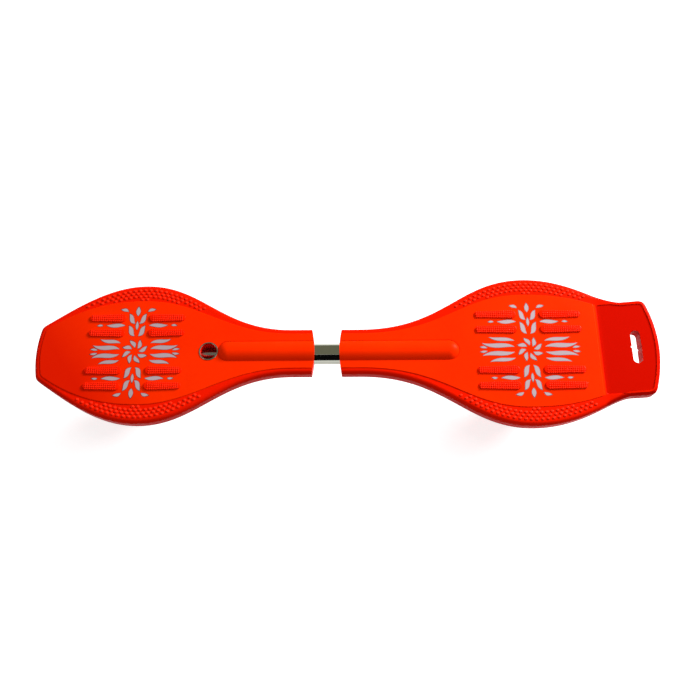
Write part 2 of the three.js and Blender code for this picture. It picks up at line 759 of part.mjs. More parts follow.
function fork() {
  const crown = prism(roundedRectangle(crownHalfLength, legOuterY, crownCorner), crownBottom, crownTop);
  const left = sideProfile(legShape(), legInnerY, legOuterY);
  const right = sideProfile(legShape(), -legOuterY, -legInnerY);
  const padY = wheelWidth / 2 - bearingInset + runningGap;
  const axle = moved(casterTrail, 0, -casterReach).multiply(acrossBoard);
  const pads = [rod(axlePadRadius, padY, legInnerY + forkThickness / 2, roundSteps, axle),
    rod(axlePadRadius, -legInnerY - forkThickness / 2, -padY, roundSteps, axle)];
  const corner = roundedRectangle(crownHalfLength, legOuterY, crownCorner);
  const trimmed = join(left, right).subtract(cut(
    block([-crownHalfLength - overrun, -legOuterY - overrun, crownBottom], [crownHalfLength + overrun,
      legOuterY + overrun, crownTop + overrun]),
    prism(corner, crownBottom - overrun, crownTop + overrun + overrun)));
  return cut(join(crown, trimmed, ...pads),
    rod(kingpinRadius + seatGap, crownBottom - overrun, crownTop + overrun),
    rod(axleRadius + seatGap, -legOuterY - overrun, legOuterY + overrun, roundSteps, axle));
}

function axleBolt() {
  const head = -legOuterY - seatGap;
  const end = legOuterY + seatGap + axleNutHeight + axleTail;
  const corner = axleHeadAcross / 2 / Math.cos(Math.PI / hexSides);
  return join(rod(corner, head - axleHeadHeight, head, hexSides, acrossBoard),
    rod(axleRadius, head - axleHeadHeight / 2, end, roundSteps, acrossBoard));
}

function tyre() {
  const half = wheelWidth / 2;
  const points = [[hubRadius, -half]];
  for (let step = 0; step <= tyreSteps; step += 1) {
    const angle = Math.PI * (step / tyreSteps - 1 / 2);
    points.push([wheelRadius - tyreShoulder + tyreShoulder * Math.cos(angle), half * Math.sin(angle)]);
  }
  points.push([hubRadius, half], [hubRadius, -half]);
  return turned(points, wheelSteps, acrossBoard);
}

function hub() {
  const half = wheelWidth / 2;
  const outer = hubRadius - seatGap;
  const seat = bearingRadius + seatGap;
  const shoulder = half - bearingInset - bearingWidth - seatGap;
  const bore = seat - hubShoulder;
  const groove = half - hubGrooveDepth;
  const upper = [[outer, half], [hubGrooveOuter, half], [hubGrooveOuter, groove], [hubGrooveInner, groove],
    [hubGrooveInner, half], [seat, half], [seat, shoulder], [bore, shoulder]];
  const lower = upper.map(([radius, z]) => [radius, -z]).reverse();
  return turned([...upper, ...lower, upper[0]], hubSteps, acrossBoard);
}

function wheelBearing(side) {
  const outer = wheelWidth / 2 - bearingInset;
  const inner = outer - bearingWidth;
  const [low, high] = side > 0 ? [inner, outer] : [-outer, -inner];
  return sleeve(axleRadius + seatGap, bearingRadius, low, high, bearingSteps, acrossBoard);
}

function bearingSpacer() {
  const half = wheelWidth / 2 - bearingInset - bearingWidth - seatGap;
  const bore = axleRadius + seatGap;
  return sleeve(bore, bore + spacerWall, -half, half, bearingSteps, acrossBoard);
}

function addWheel(caster, prefix) {
  const wheel = new THREE.Group();
  wheel.position.set(casterTrail, 0, -casterReach);
  const nutBottom = legOuterY + seatGap;
  wheel.add(piece(`${prefix}_tyre`, tyre(), tyreRubber));
  wheel.add(piece(`${prefix}_hub`, hub(), nylon));
  wheel.add(piece(`${prefix}_wheel_bearing_left`, wheelBearing(1), zincSteel));
  wheel.add(piece(`${prefix}_wheel_bearing_right`, wheelBearing(-1), zincSteel));
  wheel.add(piece(`${prefix}_bearing_spacer`, bearingSpacer(), zincSteel));
  wheel.add(piece(`${prefix}_axle_bolt`, axleBolt(), zincSteel));
  wheel.add(piece(`${prefix}_axle_nut`, hexNut(axleHeadAcross, axleRadius + seatGap, nutBottom,
    nutBottom + axleNutHeight, acrossBoard), zincSteel));
  caster.add(wheel);
}

function addCaster(board, prefix, x) {
  const caster = new THREE.Group();
  caster.position.set(x, 0, casterFaceZ);
  caster.rotation.y = -casterTilt;
  caster.add(piece(`${prefix}_caster_plate`, casterPlate(), blackSteel));
  plateScrewPlaces().forEach(([along, across], index) => {
    caster.add(piece(`${prefix}_plate_screw_${index + 1}`, plateScrew(along, across), zincSteel));
  });
  caster.add(piece(`${prefix}_kingpin`, kingpin(), zincSteel));
  caster.add(piece(`${prefix}_kingpin_nut`, hexNut(kingpinNutAcross, kingpinRadius + seatGap,
    kingpinNutTop - kingpinNutHeight, kingpinNutTop), zincSteel));
  caster.add(piece(`${prefix}_upper_swivel_bearing`, sleeve(kingpinRadius + seatGap, swivelBearingRadius,
    upperBearingTop - upperBearingHeight, upperBearingTop), zincSteel));
  caster.add(piece(`${prefix}_lower_swivel_bearing`, sleeve(kingpinRadius + seatGap, swivelBearingRadius,
    lowerBearingTop - lowerBearingHeight, lowerBearingTop), zincSteel));
  caster.add(piece(`${prefix}_fork`, fork(), blackSteel));
  addWheel(caster, prefix);
  board.add(caster);
}

const board = new THREE.Group();
board.add(piece("front_deck", frontDeck(), deckPlastic));
board.add(piece("rear_deck", rearDeck(), deckPlastic));
addTwistJoint(board);
addCaster(board, "front", frontCasterX);
addCaster(board, "rear", rearCasterX);

export default board;
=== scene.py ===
"""Caster board: fine meshes, procedural finishes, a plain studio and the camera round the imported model."""

import json
import logging
import math
from collections.abc import Callable, Iterable, Sequence
from dataclasses import dataclass, replace
from enum import Enum

import bmesh
import bpy
from mathutils import Matrix, Vector

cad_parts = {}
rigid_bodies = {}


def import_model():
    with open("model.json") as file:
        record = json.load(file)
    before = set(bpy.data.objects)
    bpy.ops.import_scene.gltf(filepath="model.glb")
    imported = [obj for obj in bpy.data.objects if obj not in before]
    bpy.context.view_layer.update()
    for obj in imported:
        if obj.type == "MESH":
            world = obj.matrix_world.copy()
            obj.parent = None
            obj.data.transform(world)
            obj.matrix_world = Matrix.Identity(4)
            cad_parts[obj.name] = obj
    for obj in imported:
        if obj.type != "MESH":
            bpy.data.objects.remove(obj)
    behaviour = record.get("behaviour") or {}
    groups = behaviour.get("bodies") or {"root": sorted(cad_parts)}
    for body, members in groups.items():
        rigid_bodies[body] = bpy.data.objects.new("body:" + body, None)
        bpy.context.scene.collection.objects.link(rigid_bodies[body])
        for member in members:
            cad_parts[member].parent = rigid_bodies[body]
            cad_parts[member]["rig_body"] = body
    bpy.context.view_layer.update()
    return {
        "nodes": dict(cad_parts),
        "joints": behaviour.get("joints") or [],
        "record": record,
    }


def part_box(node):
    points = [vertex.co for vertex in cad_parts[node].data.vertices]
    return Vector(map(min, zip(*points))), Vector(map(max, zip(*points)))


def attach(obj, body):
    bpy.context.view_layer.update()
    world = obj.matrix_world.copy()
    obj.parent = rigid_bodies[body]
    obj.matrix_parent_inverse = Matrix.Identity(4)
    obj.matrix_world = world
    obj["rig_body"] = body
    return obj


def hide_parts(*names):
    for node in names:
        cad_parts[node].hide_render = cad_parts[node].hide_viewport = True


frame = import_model()

LOG = logging.getLogger("caster_board")
Point = tuple[float, float]
Size = tuple[float, float, float]
Colour = tuple[float, float, float, float]
Walk = Iterable[tuple[Vector, Vector, float]]
Shape = bmesh.types.BMesh
Face = bmesh.types.BMFace
Edge = bmesh.types.BMEdge
Materials = dict[str, bpy.types.Material]
Socket = bpy.types.NodeSocket
Sockets = dict[str, Socket]

MM = 0.001
WELD = 0.002
SLIVER = 0.001
FLAT_ANGLE = math.radians(0.5)
SMOOTH_ANGLE = math.radians(32)
SMOOTH_BARS = math.radians(45)
SMOOTH_STUDS = math.radians(80)
AT_ORIGIN = Matrix.Identity(4)

# A quarter circle drawn as one stroke has its handles at this share of its radius
KAPPA = 0.5523

# How many steps a turned piece has round it
HOLE_STEPS = 24
SCREW_STEPS = 32
PIN_STEPS = 48
SLEEVE_STEPS = 64
BORE_STEPS = 72
WHEEL_STEPS = 96


def node_box(node: str) -> tuple[Vector, Vector]:
    """Returns a CAD node's lowest and highest corners in millimetres."""
    low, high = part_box(node)
    return low / MM, high / MM


# Shaping: every piece is built in millimetres and turned into metres when it is finished
class Join(Enum):
    """How one solid meets another."""

    ADD = "UNION"
    CUT = "DIFFERENCE"
    KEEP = "INTERSECT"


@dataclass(frozen=True)
class Stroke:
    """One curved run of an outline, with its two handles and the straight runs that it is cut into."""

    start: Point
    first: Point
    second: Point
    end: Point
    runs: int

    @classmethod
    def line(cls, start: Point, end: Point, runs: int) -> "Stroke":
        """Draws a straight stroke.

        Args:
            start: Where it starts.
            end: Where it ends.
            runs: The runs that it is cut into.

        Returns:
            The stroke.
        """
        third = tuple(a + (b - a) / 3 for a, b in zip(start, end))
        two_thirds = tuple(b + (a - b) / 3 for a, b in zip(start, end))
        return cls(start, third, two_thirds, end, runs)

    def mirrored(self) -> "Stroke":
        """Returns the same stroke on the other side of the board's centreline."""
        flipped = [(x, -y) for x, y in (self.start, self.first, self.second, self.end)]
        return Stroke(*flipped, self.runs)

    def point(self, share: float) -> Vector:
        """Finds a place along the stroke.

        Args:
            share: The share of the stroke before that place, from 0 to 1.

        Returns:
            The place.
        """
        rest = 1 - share
        weights = (rest ** 3, 3 * rest ** 2 * share, 3 * rest * share ** 2, share ** 3)
        places = (self.start, self.first, self.second, self.end)
        return sum((Vector(p) * w for p, w in zip(places, weights)), Vector((0.0, 0.0)))


def wire(strokes: Iterable[Stroke], height: float = 0.0) -> Shape:
    """Draws strokes as one welded loop of edges.

    Args:
        strokes: The strokes, which meet end to end.
        height: The loop's height.

    Returns:
        The loop, without a face.
    """
    curve = bpy.data.curves.new("wire", "CURVE")
    curve.dimensions = "3D"
    for stroke in strokes:
        spline = curve.splines.new("BEZIER")
        spline.bezier_points.add(1)
        spline.resolution_u = stroke.runs
        begin, finish = spline.bezier_points
        begin.handle_left_type = begin.handle_right_type = "FREE"
        finish.handle_left_type = finish.handle_right_type = "FREE"
        begin.co, begin.handle_left = (*stroke.start, height), (*stroke.start, height)
        begin.handle_right = (*stroke.first, height)
        finish.handle_left = (*stroke.second, height)
        finish.co, finish.handle_right = (*stroke.end, height), (*stroke.end, height)
    drawing = bpy.data.objects.new("wire", curve)
    bm = bmesh.new()
    bm.from_mesh(drawing.to_mesh())
    drawing.to_mesh_clear()
    bpy.data.objects.remove(drawing)
    bpy.data.curves.remove(curve)
    bmesh.ops.remove_doubles(bm, verts=bm.verts, dist=WELD)
    return bm


def both_sides(strokes: Sequence[Stroke]) -> list[Stroke]:
    """Returns strokes together with their mirror images."""
    return [*strokes, *(stroke.mirrored() for stroke in strokes)]


def only(kind: type, items: Iterable[object]) -> list:
    """Returns the items of one kind."""
    return [item for item in items if isinstance(item, kind)]


def lid(shape: Shape, edges: Iterable[Edge]) -> Face:
    """Fills a level loop of edges with one face that looks up.

    Args:
        shape: The shape that the loop belongs to.
        edges: The loop.

    Returns:
        The face.
    """
    face = bmesh.ops.edgeloop_fill(shape, edges=edges)["faces"][0]
    face.normal_update()
    if face.normal.z < 0:
        face.normal_flip()
    return face


def inset(shape: Shape, face: Face, thickness: float, depth: float = 0.0) -> list[Face]:
    """Draws a face in from its edge.

    Args:
        shape: The shape that the face belongs to.
        face: The face.
        thickness: How far it is drawn in.
        depth: How far it is moved out.

    Returns:
        The faces that this adds round it.
    """
    return bmesh.ops.inset_region(shape, faces=[face], use_even_offset=True, use_boundary=True,
                                  thickness=thickness, depth=depth)["faces"]


def rounded_over(shape: Shape, face: Face, radius: float, rounds: int) -> None:
    """Rounds the edge round a level face.

    Args:
        shape: The shape that the face belongs to.
        face: The face.
        radius: The radius of the rounding.
        rounds: The number of runs in it.
    """
    for step in range(rounds):
        low, high = (math.pi / 2 * (step + k) / rounds for k in (0, 1))
        inset(shape, face, radius * (math.cos(low) - math.cos(high)),
              radius * (math.sin(high) - math.sin(low)))


def prism(loop: Shape, low: float, high: float, margin: float = 0.0) -> Shape:
    """Raises a loop into an upright solid.

    Args:
        loop: A flat loop of edges.
        low: The solid's bottom height.
        high: Its top height.
        margin: How far its walls stand inside the loop.

    Returns:
        The solid, in the loop's own bmesh.
    """
    face = lid(loop, loop.edges)
    if margin:
        bmesh.ops.delete(loop, geom=inset(loop, face, margin), context="FACES")
    for vert in loop.verts:
        vert.co.z = high
    made = bmesh.ops.extrude_face_region(loop, geom=loop.faces[:])
    for vert in only(bmesh.types.BMVert, made["geom"]):
        vert.co.z = low
    bmesh.ops.recalc_face_normals(loop, faces=loop.faces)
    return loop


def block(low: Sequence[float], high: Sequence[float], place: Matrix = AT_ORIGIN) -> Shape:
    """Builds a box between two corners.

    Args:
        low: The lowest corner.
        high: The highest corner.
        place: Where the box goes.

    Returns:
        The box.
    """
    bm = bmesh.new()
    middle = [(a + b) / 2 for a, b in zip(low, high)]
    size = [b - a for a, b in zip(low, high)]
    bmesh.ops.create_cube(bm, size=1, matrix=place @ Matrix.Translation(middle) @ Matrix.Diagonal((*size, 1)))
    return bm


def turned(section: Sequence[Point], steps: int, place: Matrix = AT_ORIGIN) -> Shape:
    """Spins a section of radius and height about Z.

    Args:
        section: Points of radius and height. A ring's section ends at its first point.
        steps: The number of steps round.
        place: Where the turned solid goes.

    Returns:
        The closed solid.
    """
    bm = bmesh.new()
    verts = [bm.verts.new((radius, 0, height)) for radius, height in section]
    edges = [bm.edges.new(pair) for pair in zip(verts, verts[1:])]
    bmesh.ops.spin(bm, geom=[*verts, *edges], cent=(0, 0, 0), axis=(0, 0, 1), angle=math.tau, steps=steps,
                   use_merge=True)
    bmesh.ops.remove_doubles(bm, verts=bm.verts, dist=WELD)
    bmesh.ops.recalc_face_normals(bm, faces=bm.faces)
    bmesh.ops.transform(bm, matrix=place, verts=bm.verts)
    return bm


def rod(radius: float, low: float, high: float, steps: int, place: Matrix) -> Shape:
    """Returns a plain round rod, which also serves as a cutter."""
    return turned([(0, low), (radius, low), (radius, high), (0, high)], steps, place)


def hull(rings: Iterable[tuple[float, float, Matrix]], sides: int) -> Shape:
    """Wraps a skin round some level rings.

    Args:
        rings: Each ring's radius, height and place.
        sides: The number of points in a ring.

    Returns:
        The wrapped solid, with its flat faces whole.
    """
    bm = bmesh.new()
    for radius, height, place in rings:
        level = place @ Matrix.Translation((0, 0, height))
        bmesh.ops.create_circle(bm, segments=sides, radius=radius, matrix=level)
    made = bmesh.ops.convex_hull(bm, input=bm.verts)
    spare = only(bmesh.types.BMVert, (*made["geom_interior"], *made["geom_unused"]))
    bmesh.ops.delete(bm, geom=spare, context="VERTS")
    bmesh.ops.dissolve_limit(bm, angle_limit=FLAT_ANGLE, verts=bm.verts, edges=bm.edges)
    bmesh.ops.recalc_face_normals(bm, faces=bm.faces)
    return bm


def scratch_object(shape: Shape) -> bpy.types.Object:
    """Puts a shape in a passing object.

    Args:
        shape: The shape. It is freed.

    Returns:
        The object.
    """
    mesh = bpy.data.meshes.new("scratch")
    shape.to_mesh(mesh)
    shape.free()
    item = bpy.data.objects.new("scratch", mesh)
    bpy.context.scene.collection.objects.link(item)
    return item


def combined(first: Shape, others: Iterable[Shape], how: Join) -> Shape:
    """Joins, cuts or trims a solid with others, one after another.

    Args:
        first: The solid that is worked on. It is freed.
        others: The solids that are joined to it or cut from it. They are freed.
        how: How they meet.

    Returns:
        The new solid.
    """
    item = scratch_object(first)
    tools = [scratch_object(other) for other in others]
    for tool in tools:
        step = item.modifiers.new("meet", "BOOLEAN")
        step.operation = how.value
        step.object = tool
        step.solver = "MANIFOLD"
    bpy.context.view_layer.update()
    result = bmesh.new()
    made = item.evaluated_get(bpy.context.evaluated_depsgraph_get())
    result.from_mesh(made.to_mesh())
    made.to_mesh_clear()
    for spent in (item, *tools):
        mesh = spent.data
        bpy.data.objects.remove(spent)
        bpy.data.meshes.remove(mesh)
    return result


def cad_solid(node: str) -> Shape:
    """Copies a CAD node's mesh, with its points welded.

    Args:
        node: The node.

    Returns:
        The copy, in millimetres.
    """
    bm = bmesh.new()
    bm.from_mesh(frame["nodes"][node].data)
    bmesh.ops.transform(bm, matrix=Matrix.Scale(1 / MM, 4), verts=bm.verts)
    bmesh.ops.remove_doubles(bm, verts=bm.verts, dist=WELD)
    return bm


def pour(shape: Shape, target: Shape) -> None:
    """Adds a shape to another one.

    Args:
        shape: The shape that is added. It is freed.
        target: The shape that takes it.
    """
    mesh = bpy.data.meshes.new("part")
    shape.to_mesh(mesh)
    shape.free()
    target.from_mesh(mesh)
    bpy.data.meshes.remove(mesh)


def merged(shapes: Iterable[Shape]) -> Shape:
    """Gathers shapes in one, without joining their solids.

    Args:
        shapes: The shapes. They are freed.

    Returns:
        The shape that holds them all.
    """
    result = bmesh.new()
    for shape in shapes:
        pour(shape, result)
    return result


def draw_loop(shape: Shape, half: Sequence[Stroke], height: float) -> list[Edge]:
    """Draws a closed loop into a shape.

    Args:
        shape: The shape that takes the loop.
        half: The loop's strokes on one side of the centreline.
        height: The loop's height.

    Returns:
        The loop's edges.
    """
    known = set(shape.edges)
    pour(wire(both_sides(half), height), shape)
    return [edge for edge in shape.edges if edge not in known]


def add_stud(shape: Shape, place: Sequence[float], size: Size, sides: int, bands: int) -> None:
    """Adds a round stud to a shape.

    Args:
        shape: The shape that takes it.
        place: The stud's middle.
        size: Its half lengths along, across and up.
        sides: The number of steps round it.
        bands: The number of steps up it.
    """
    matrix = Matrix.Translation(place) @ Matrix.Diagonal((*size, 1))
    bmesh.ops.create_uvsphere(shape, u_segments=sides, v_segments=bands, radius=1, matrix=matrix)


@dataclass
class Piece:
    """A finished piece: its shape, what carries it and what it is made of."""

    name: str
    shape: Shape
    body: str
    slot: str
    materials: tuple[bpy.types.Material, ...]
    replaced: tuple[str, ...] = ()
    weighted: bool = False
    smooth: float = SMOOTH_ANGLE

    def place(self) -> bpy.types.Object:
        """Turns the shape into metres, links its object and ties it to the frame.

        Returns:
            The piece's object.
        """
        bmesh.ops.transform(self.shape, matrix=Matrix.Scale(MM, 4), verts=self.shape.verts)
        mesh = bpy.data.meshes.new(self.name)
        self.shape.to_mesh(mesh)
        self.shape.free()
        for material in self.materials:
            mesh.materials.append(material)
        mesh.shade_smooth()
        mesh.set_sharp_from_angle(angle=self.smooth)
        item = bpy.data.objects.new(self.name, mesh)
        bpy.context.scene.collection.objects.link(item)
        if self.weighted:
            item.modifiers.new("normals", "WEIGHTED_NORMAL").keep_sharp = True
        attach(item, self.body)
        if self.replaced:
            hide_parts(*self.replaced)
        LOG.info("%s: %d faces, rides %s", self.name, len(mesh.polygons), self.body)
        return item


# Places that the frame gives and the decks share, in millimetres
TUBE_LOW, TUBE_HIGH = node_box("torsion_tube")
AXIS_Z = (TUBE_LOW.z + TUBE_HIGH.z) / 2
RING_LOW, RING_HIGH = node_box("access_ring")
ACCESS_X = (RING_LOW.x + RING_HIGH.x) / 2
RING_RADIUS = (RING_HIGH.x - RING_LOW.x) / 2
RING_PROUD = 0.7
TOP_Z = RING_HIGH.z - RING_PROUD
NOSE_X = node_box("front_deck")[0].x
FRONT_NECK_X = node_box("front_deck")[1].x
REAR_NECK_X = node_box("rear_deck")[0].x
TAIL_X = node_box("rear_deck")[1].x
SKIRT_DEPTH = 18.0
SKIRT_Z = TOP_Z - SKIRT_DEPTH
ALONG_TUBE = Matrix.Translation((0, 0, AXIS_Z)) @ Matrix.Rotation(math.pi / 2, 4, "Y")
KICK_REACH = 75.5
KICK_ANGLE = math.radians(12)

# Half the length and width, and the height, of a block that holds everything over a level
OVER_ALL = Vector((500.0, 200.0, 100.0))


# Finishes
def colour(red: int, green: int, blue: int) -> Colour:
    """Turns a display colour into the linear colour that Blender mixes, by the sRGB curve.

    Args:
        red: The share of red, from 0 to 255.
        green: The share of green.
        blue: The share of blue.

    Returns:
        The linear colour, fully opaque.
    """
    shares = [value / 255 for value in (red, green, blue)]
    linear = [s / 12.92 if s <= 0.04045 else ((s + 0.055) / 1.055) ** 2.4 for s in shares]
    return (*linear, 1.0)


def set_inputs(node: bpy.types.Node, values: dict[str, object]) -> None:
    """Sets a node's inputs by name."""
    for name, value in values.items():
        node.inputs[name].default_value = value


class Graph:
    """A node tree that is filled node by node."""

    def __init__(self, tree: bpy.types.NodeTree) -> None:
        """Starts from an existing tree."""
        self.tree = tree

    def node(self, kind: str, **settings: object) -> bpy.types.Node:
        """Adds a node.

        Args:
            kind: The node's type.
            settings: Its properties by name.

        Returns:
            The new node.
        """
        made = self.tree.nodes.new(kind)
        for name, value in settings.items():
            setattr(made, name, value)
        return made

    def link(self, source: Socket, target: Socket) -> None:
        """Joins two sockets."""
        self.tree.links.new(source, target)

    def group(self, tree: bpy.types.NodeTree, vector: Socket, **values: object) -> bpy.types.NodeOutputs:
        """Adds a shared effect.

        Args:
            tree: The effect's node group.
            vector: The place on the piece.
            values: The effect's other inputs by name.

        Returns:
            The effect's outputs.
        """
        made = self.node("ShaderNodeGroup", node_tree=tree)
        set_inputs(made, values)
        self.link(vector, made.inputs["Vector"])
        return made.outputs

    def noise(self, vector: Socket, scale: float, detail: float = 3.0, roughness: float = 0.55) -> Socket:
        """Adds a noise texture.

        Args:
            vector: The place on the piece.
            scale: The noise's scale.
            detail: How many finer layers it has.
            roughness: How strong they are.

        Returns:
            Its factor.
        """
        made = self.node("ShaderNodeTexNoise")
        set_inputs(made, {"Scale": scale, "Detail": detail, "Roughness": roughness})
        self.link(vector, made.inputs["Vector"])
        return made.outputs["Fac"]

    def ranged(self, value: Socket, low: float, high: float, to_low: float, to_high: float) -> Socket:
        """Maps a value from one range to another.

        Args:
            value: The value.
            low: Where its range begins.
            high: Where its range ends.
            to_low: What the begin becomes.
            to_high: What the end becomes.

        Returns:
            The mapped value.
        """
        made = self.node("ShaderNodeMapRange")
        set_inputs(made, {"From Min": low, "From Max": high, "To Min": to_low, "To Max": to_high})
        self.link(value, made.inputs["Value"])
        return made.outputs["Result"]

    def without(self, mask: Socket) -> Socket:
        """Returns 1 less a mask."""
        return self.ranged(mask, 0, 1, 1, 0)

    def feed(self, value: object, socket: Socket) -> None:
        """Gives a socket its value, or links it to the socket that is given instead.

        Args:
            value: The value or the socket.
            socket: The socket that takes it.
        """
        if isinstance(value, Socket):
            self.link(value, socket)
        else:
            socket.default_value = value

    def blended(self, share: Socket, first: object, second: object) -> Socket:
        """Mixes two colours.

        Args:
            share: The second colour's share.
            first: The first colour, as a value or a socket.
            second: The second colour, as a value or a socket.

        Returns:
            The mix.
        """
        made = self.node("ShaderNodeMix", data_type="RGBA")
        self.link(share, made.inputs["Factor"])
        for name, value in (("A", first), ("B", second)):
            self.feed(value, next(s for s in made.inputs if s.name == name and s.type == "RGBA"))
        return next(s for s in made.outputs if s.type == "RGBA")

    def math(self, how: str, first: Socket, second: object) -> Socket:
        """Works out one sum of two values.

        Args:
            how: The sum's name.
            first: The first value.
            second: The second value, as a number or a socket.

        Returns:
            The result.
        """
        made = self.node("ShaderNodeMath", operation=how)
        self.link(first, made.inputs[0])
        self.feed(second, made.inputs[1])
        return made.outputs[0]


def effect(name: str, inputs: Sequence[tuple[str, str, object]], outputs: Sequence[tuple[str, str]],
           fill: Callable[[Graph, Sockets, Sockets], None]) -> bpy.types.NodeTree:
    """Builds a node group once.

    Args:
        name: The group's name.
        inputs: Each input's name, socket type and value.
        outputs: Each output's name and socket type.
        fill: What fills the group, given its graph and its input and output sockets by name.

    Returns:
        The group.
    """
    tree = bpy.data.node_groups.new(name, "ShaderNodeTree")
    for label, kind, value in inputs:
        made = tree.interface.new_socket(label, in_out="INPUT", socket_type=kind)
        if value is not None:
            made.default_value = value
    for label, kind in outputs:
        tree.interface.new_socket(label, in_out="OUTPUT", socket_type=kind)
    graph = Graph(tree)
    entry, exit_node = graph.node("NodeGroupInput"), graph.node("NodeGroupOutput")
    fill(graph, {s.name: s for s in entry.outputs if s.name}, {s.name: s for s in exit_node.inputs if s.name})
    return tree


def fill_cloud(graph: Graph, entry: Sockets, out: Sockets) -> None:
    """Fills the slow colour drift of a moulding or a coat, between two colours.

    Args:
        graph: The group's graph.
        entry: Its input sockets by name.
        out: Its output sockets by name.
    """
    drift = graph.noise(entry["Vector"], 9.0, 2.0)
    fine = graph.noise(entry["Vector"], 160.0, 3.0)
    share = graph.math("ADD", graph.ranged(drift, 0.3, 0.7, 0.0, 0.8),
                       graph.ranged(fine, 0.35, 0.65, 0.0, 0.2))
    graph.link(graph.blended(share, entry["Low"], entry["High"]), out["Color"])


def fill_grain(graph: Graph, entry: Sockets, out: Sockets) -> None:
    """Fills fine tool grain as a height, and the small changes that it makes to the roughness.

    Args:
        graph: The group's graph.
        entry: Its input sockets by name.
        out: Its output sockets by name.
    """
    fine = graph.noise(entry["Vector"], 1400.0, 2.0)
    broad = graph.noise(entry["Vector"], 55.0, 4.0)
    graph.link(graph.math("ADD", fine, graph.math("MULTIPLY", broad, 0.6)), out["Height"])
    spread = graph.ranged(broad, 0.3, 0.7, -0.5, 0.5)
    graph.link(graph.math("ADD", graph.math("MULTIPLY", spread, entry["Spread"]), entry["Roughness"]),
               out["Roughness"])


def fill_wear(graph: Graph, entry: Sockets, out: Sockets) -> None:
    """Fills fine scratches along one direction, as a height.

    Args:
        graph: The group's graph.
        entry: Its input sockets by name.
        out: Its output sockets by name.
    """
    mapping = graph.node("ShaderNodeMapping")
    mapping.inputs["Scale"].default_value = (14.0, 420.0, 420.0)
    graph.link(entry["Vector"], mapping.inputs["Vector"])
    lines = graph.noise(mapping.outputs["Vector"], 1.0, 5.0, 0.7)
    graph.link(lines, out["Height"])


@dataclass(frozen=True)
class PaintedShadeZones:
    """Where painted shade darkens the decks' red. Each pair is where a zone's edge begins and ends, in
    millimetres.
    """

    below_panel: Point = (-0.7, -0.25)
    pad_floor: Point = (-1.1, -0.9)
    kick_start: Point = (-1.7, -1.2)
    strip_start: Point = (-8.0, -7.0)
    strip_side: Point = (66.0, 67.0)
    nose_fade: Point = (30.0, 115.0)
    nose_slant: float = 0.7
    nose_share: float = 0.62

    def fill(self, graph: Graph, entry: Sockets, out: Sockets) -> None:
        """Fills the masks of the painted shade.

        The first paints shade on what lies below the raised panels, but not the strip before the crease, and
        on the whole kick. The second paints deeper shade on the kick's sunk pad, and on the nose, where it
        fades out towards the deck's middle.

        Args:
            graph: The group's graph.
            entry: Its input sockets by name.
            out: Its output sockets by name.
        """
        def edge(value: Socket, start: float, pair: Point, before: float, after: float) -> Socket:
            """Returns the step of a value between two places past a start."""
            return graph.ranged(value, start + pair[0] * MM, start + pair[1] * MM, before, after)

        place = graph.node("ShaderNodeSeparateXYZ")
        graph.link(entry["Vector"], place.inputs["Vector"])
        x, y, z = (place.outputs[axis] for axis in "XYZ")
        top = TOP_Z * MM
        past = graph.math("SUBTRACT", x, (TAIL_X - KICK_REACH) * MM)
        below = edge(z, top, self.below_panel, 1, 0)
        raised = graph.without(below)
        kick = edge(past, 0, self.kick_start, 0, 1)
        strip = graph.math("MULTIPLY", edge(past, 0, self.strip_start, 0, 1),
                           edge(graph.math("ABSOLUTE", y, 0.0), 0, self.strip_side, 1, 0))
        band = graph.math("MULTIPLY", below, graph.without(strip))
        from_nose = graph.math("ADD", graph.math("SUBTRACT", x, NOSE_X * MM),
                               graph.math("MULTIPLY", y, self.nose_slant))
        nose = graph.math("MULTIPLY", edge(from_nose, 0, self.nose_fade, self.nose_share, 0), raised)
        rise = graph.math("MULTIPLY", graph.math("MAXIMUM", past, 0.0), math.tan(KICK_ANGLE))
        sunk = edge(graph.math("SUBTRACT", z, rise), top, self.pad_floor, 1, 0)
        graph.link(graph.math("MAXIMUM", band, kick), out["Band"])
        graph.link(graph.math("MAXIMUM", graph.math("MULTIPLY", kick, sunk), nose), out["Deep"])


VECTOR, COLOUR, NUMBER = "NodeSocketVector", "NodeSocketColor", "NodeSocketFloat"
MID_GREY = (0.5, 0.5, 0.5, 1.0)
WHITE = (1.0, 1.0, 1.0, 1.0)


class Effects:
    """The node groups that several finishes share."""

    def __init__(self) -> None:
        """Builds each group once."""
        place = ("Vector", VECTOR, None)
        self.cloud = effect("colour_drift", [place, ("Low", COLOUR, MID_GREY), ("High", COLOUR, MID_GREY)],
                            [("Color", COLOUR)], fill_cloud)
        self.grain = effect("tool_grain", [place, ("Roughness", NUMBER, 0.4), ("Spread", NUMBER, 0.1)],
                            [("Height", NUMBER), ("Roughness", NUMBER)], fill_grain)
        # This mask group marks where darker reds paint shade on the decks.
        self.shade_zones = effect("red_zones", [place], [("Band", NUMBER), ("Deep", NUMBER)], PaintedShadeZones().fill)
        self.wear = effect("drawn_lines", [place], [("Height", NUMBER)], fill_wear)


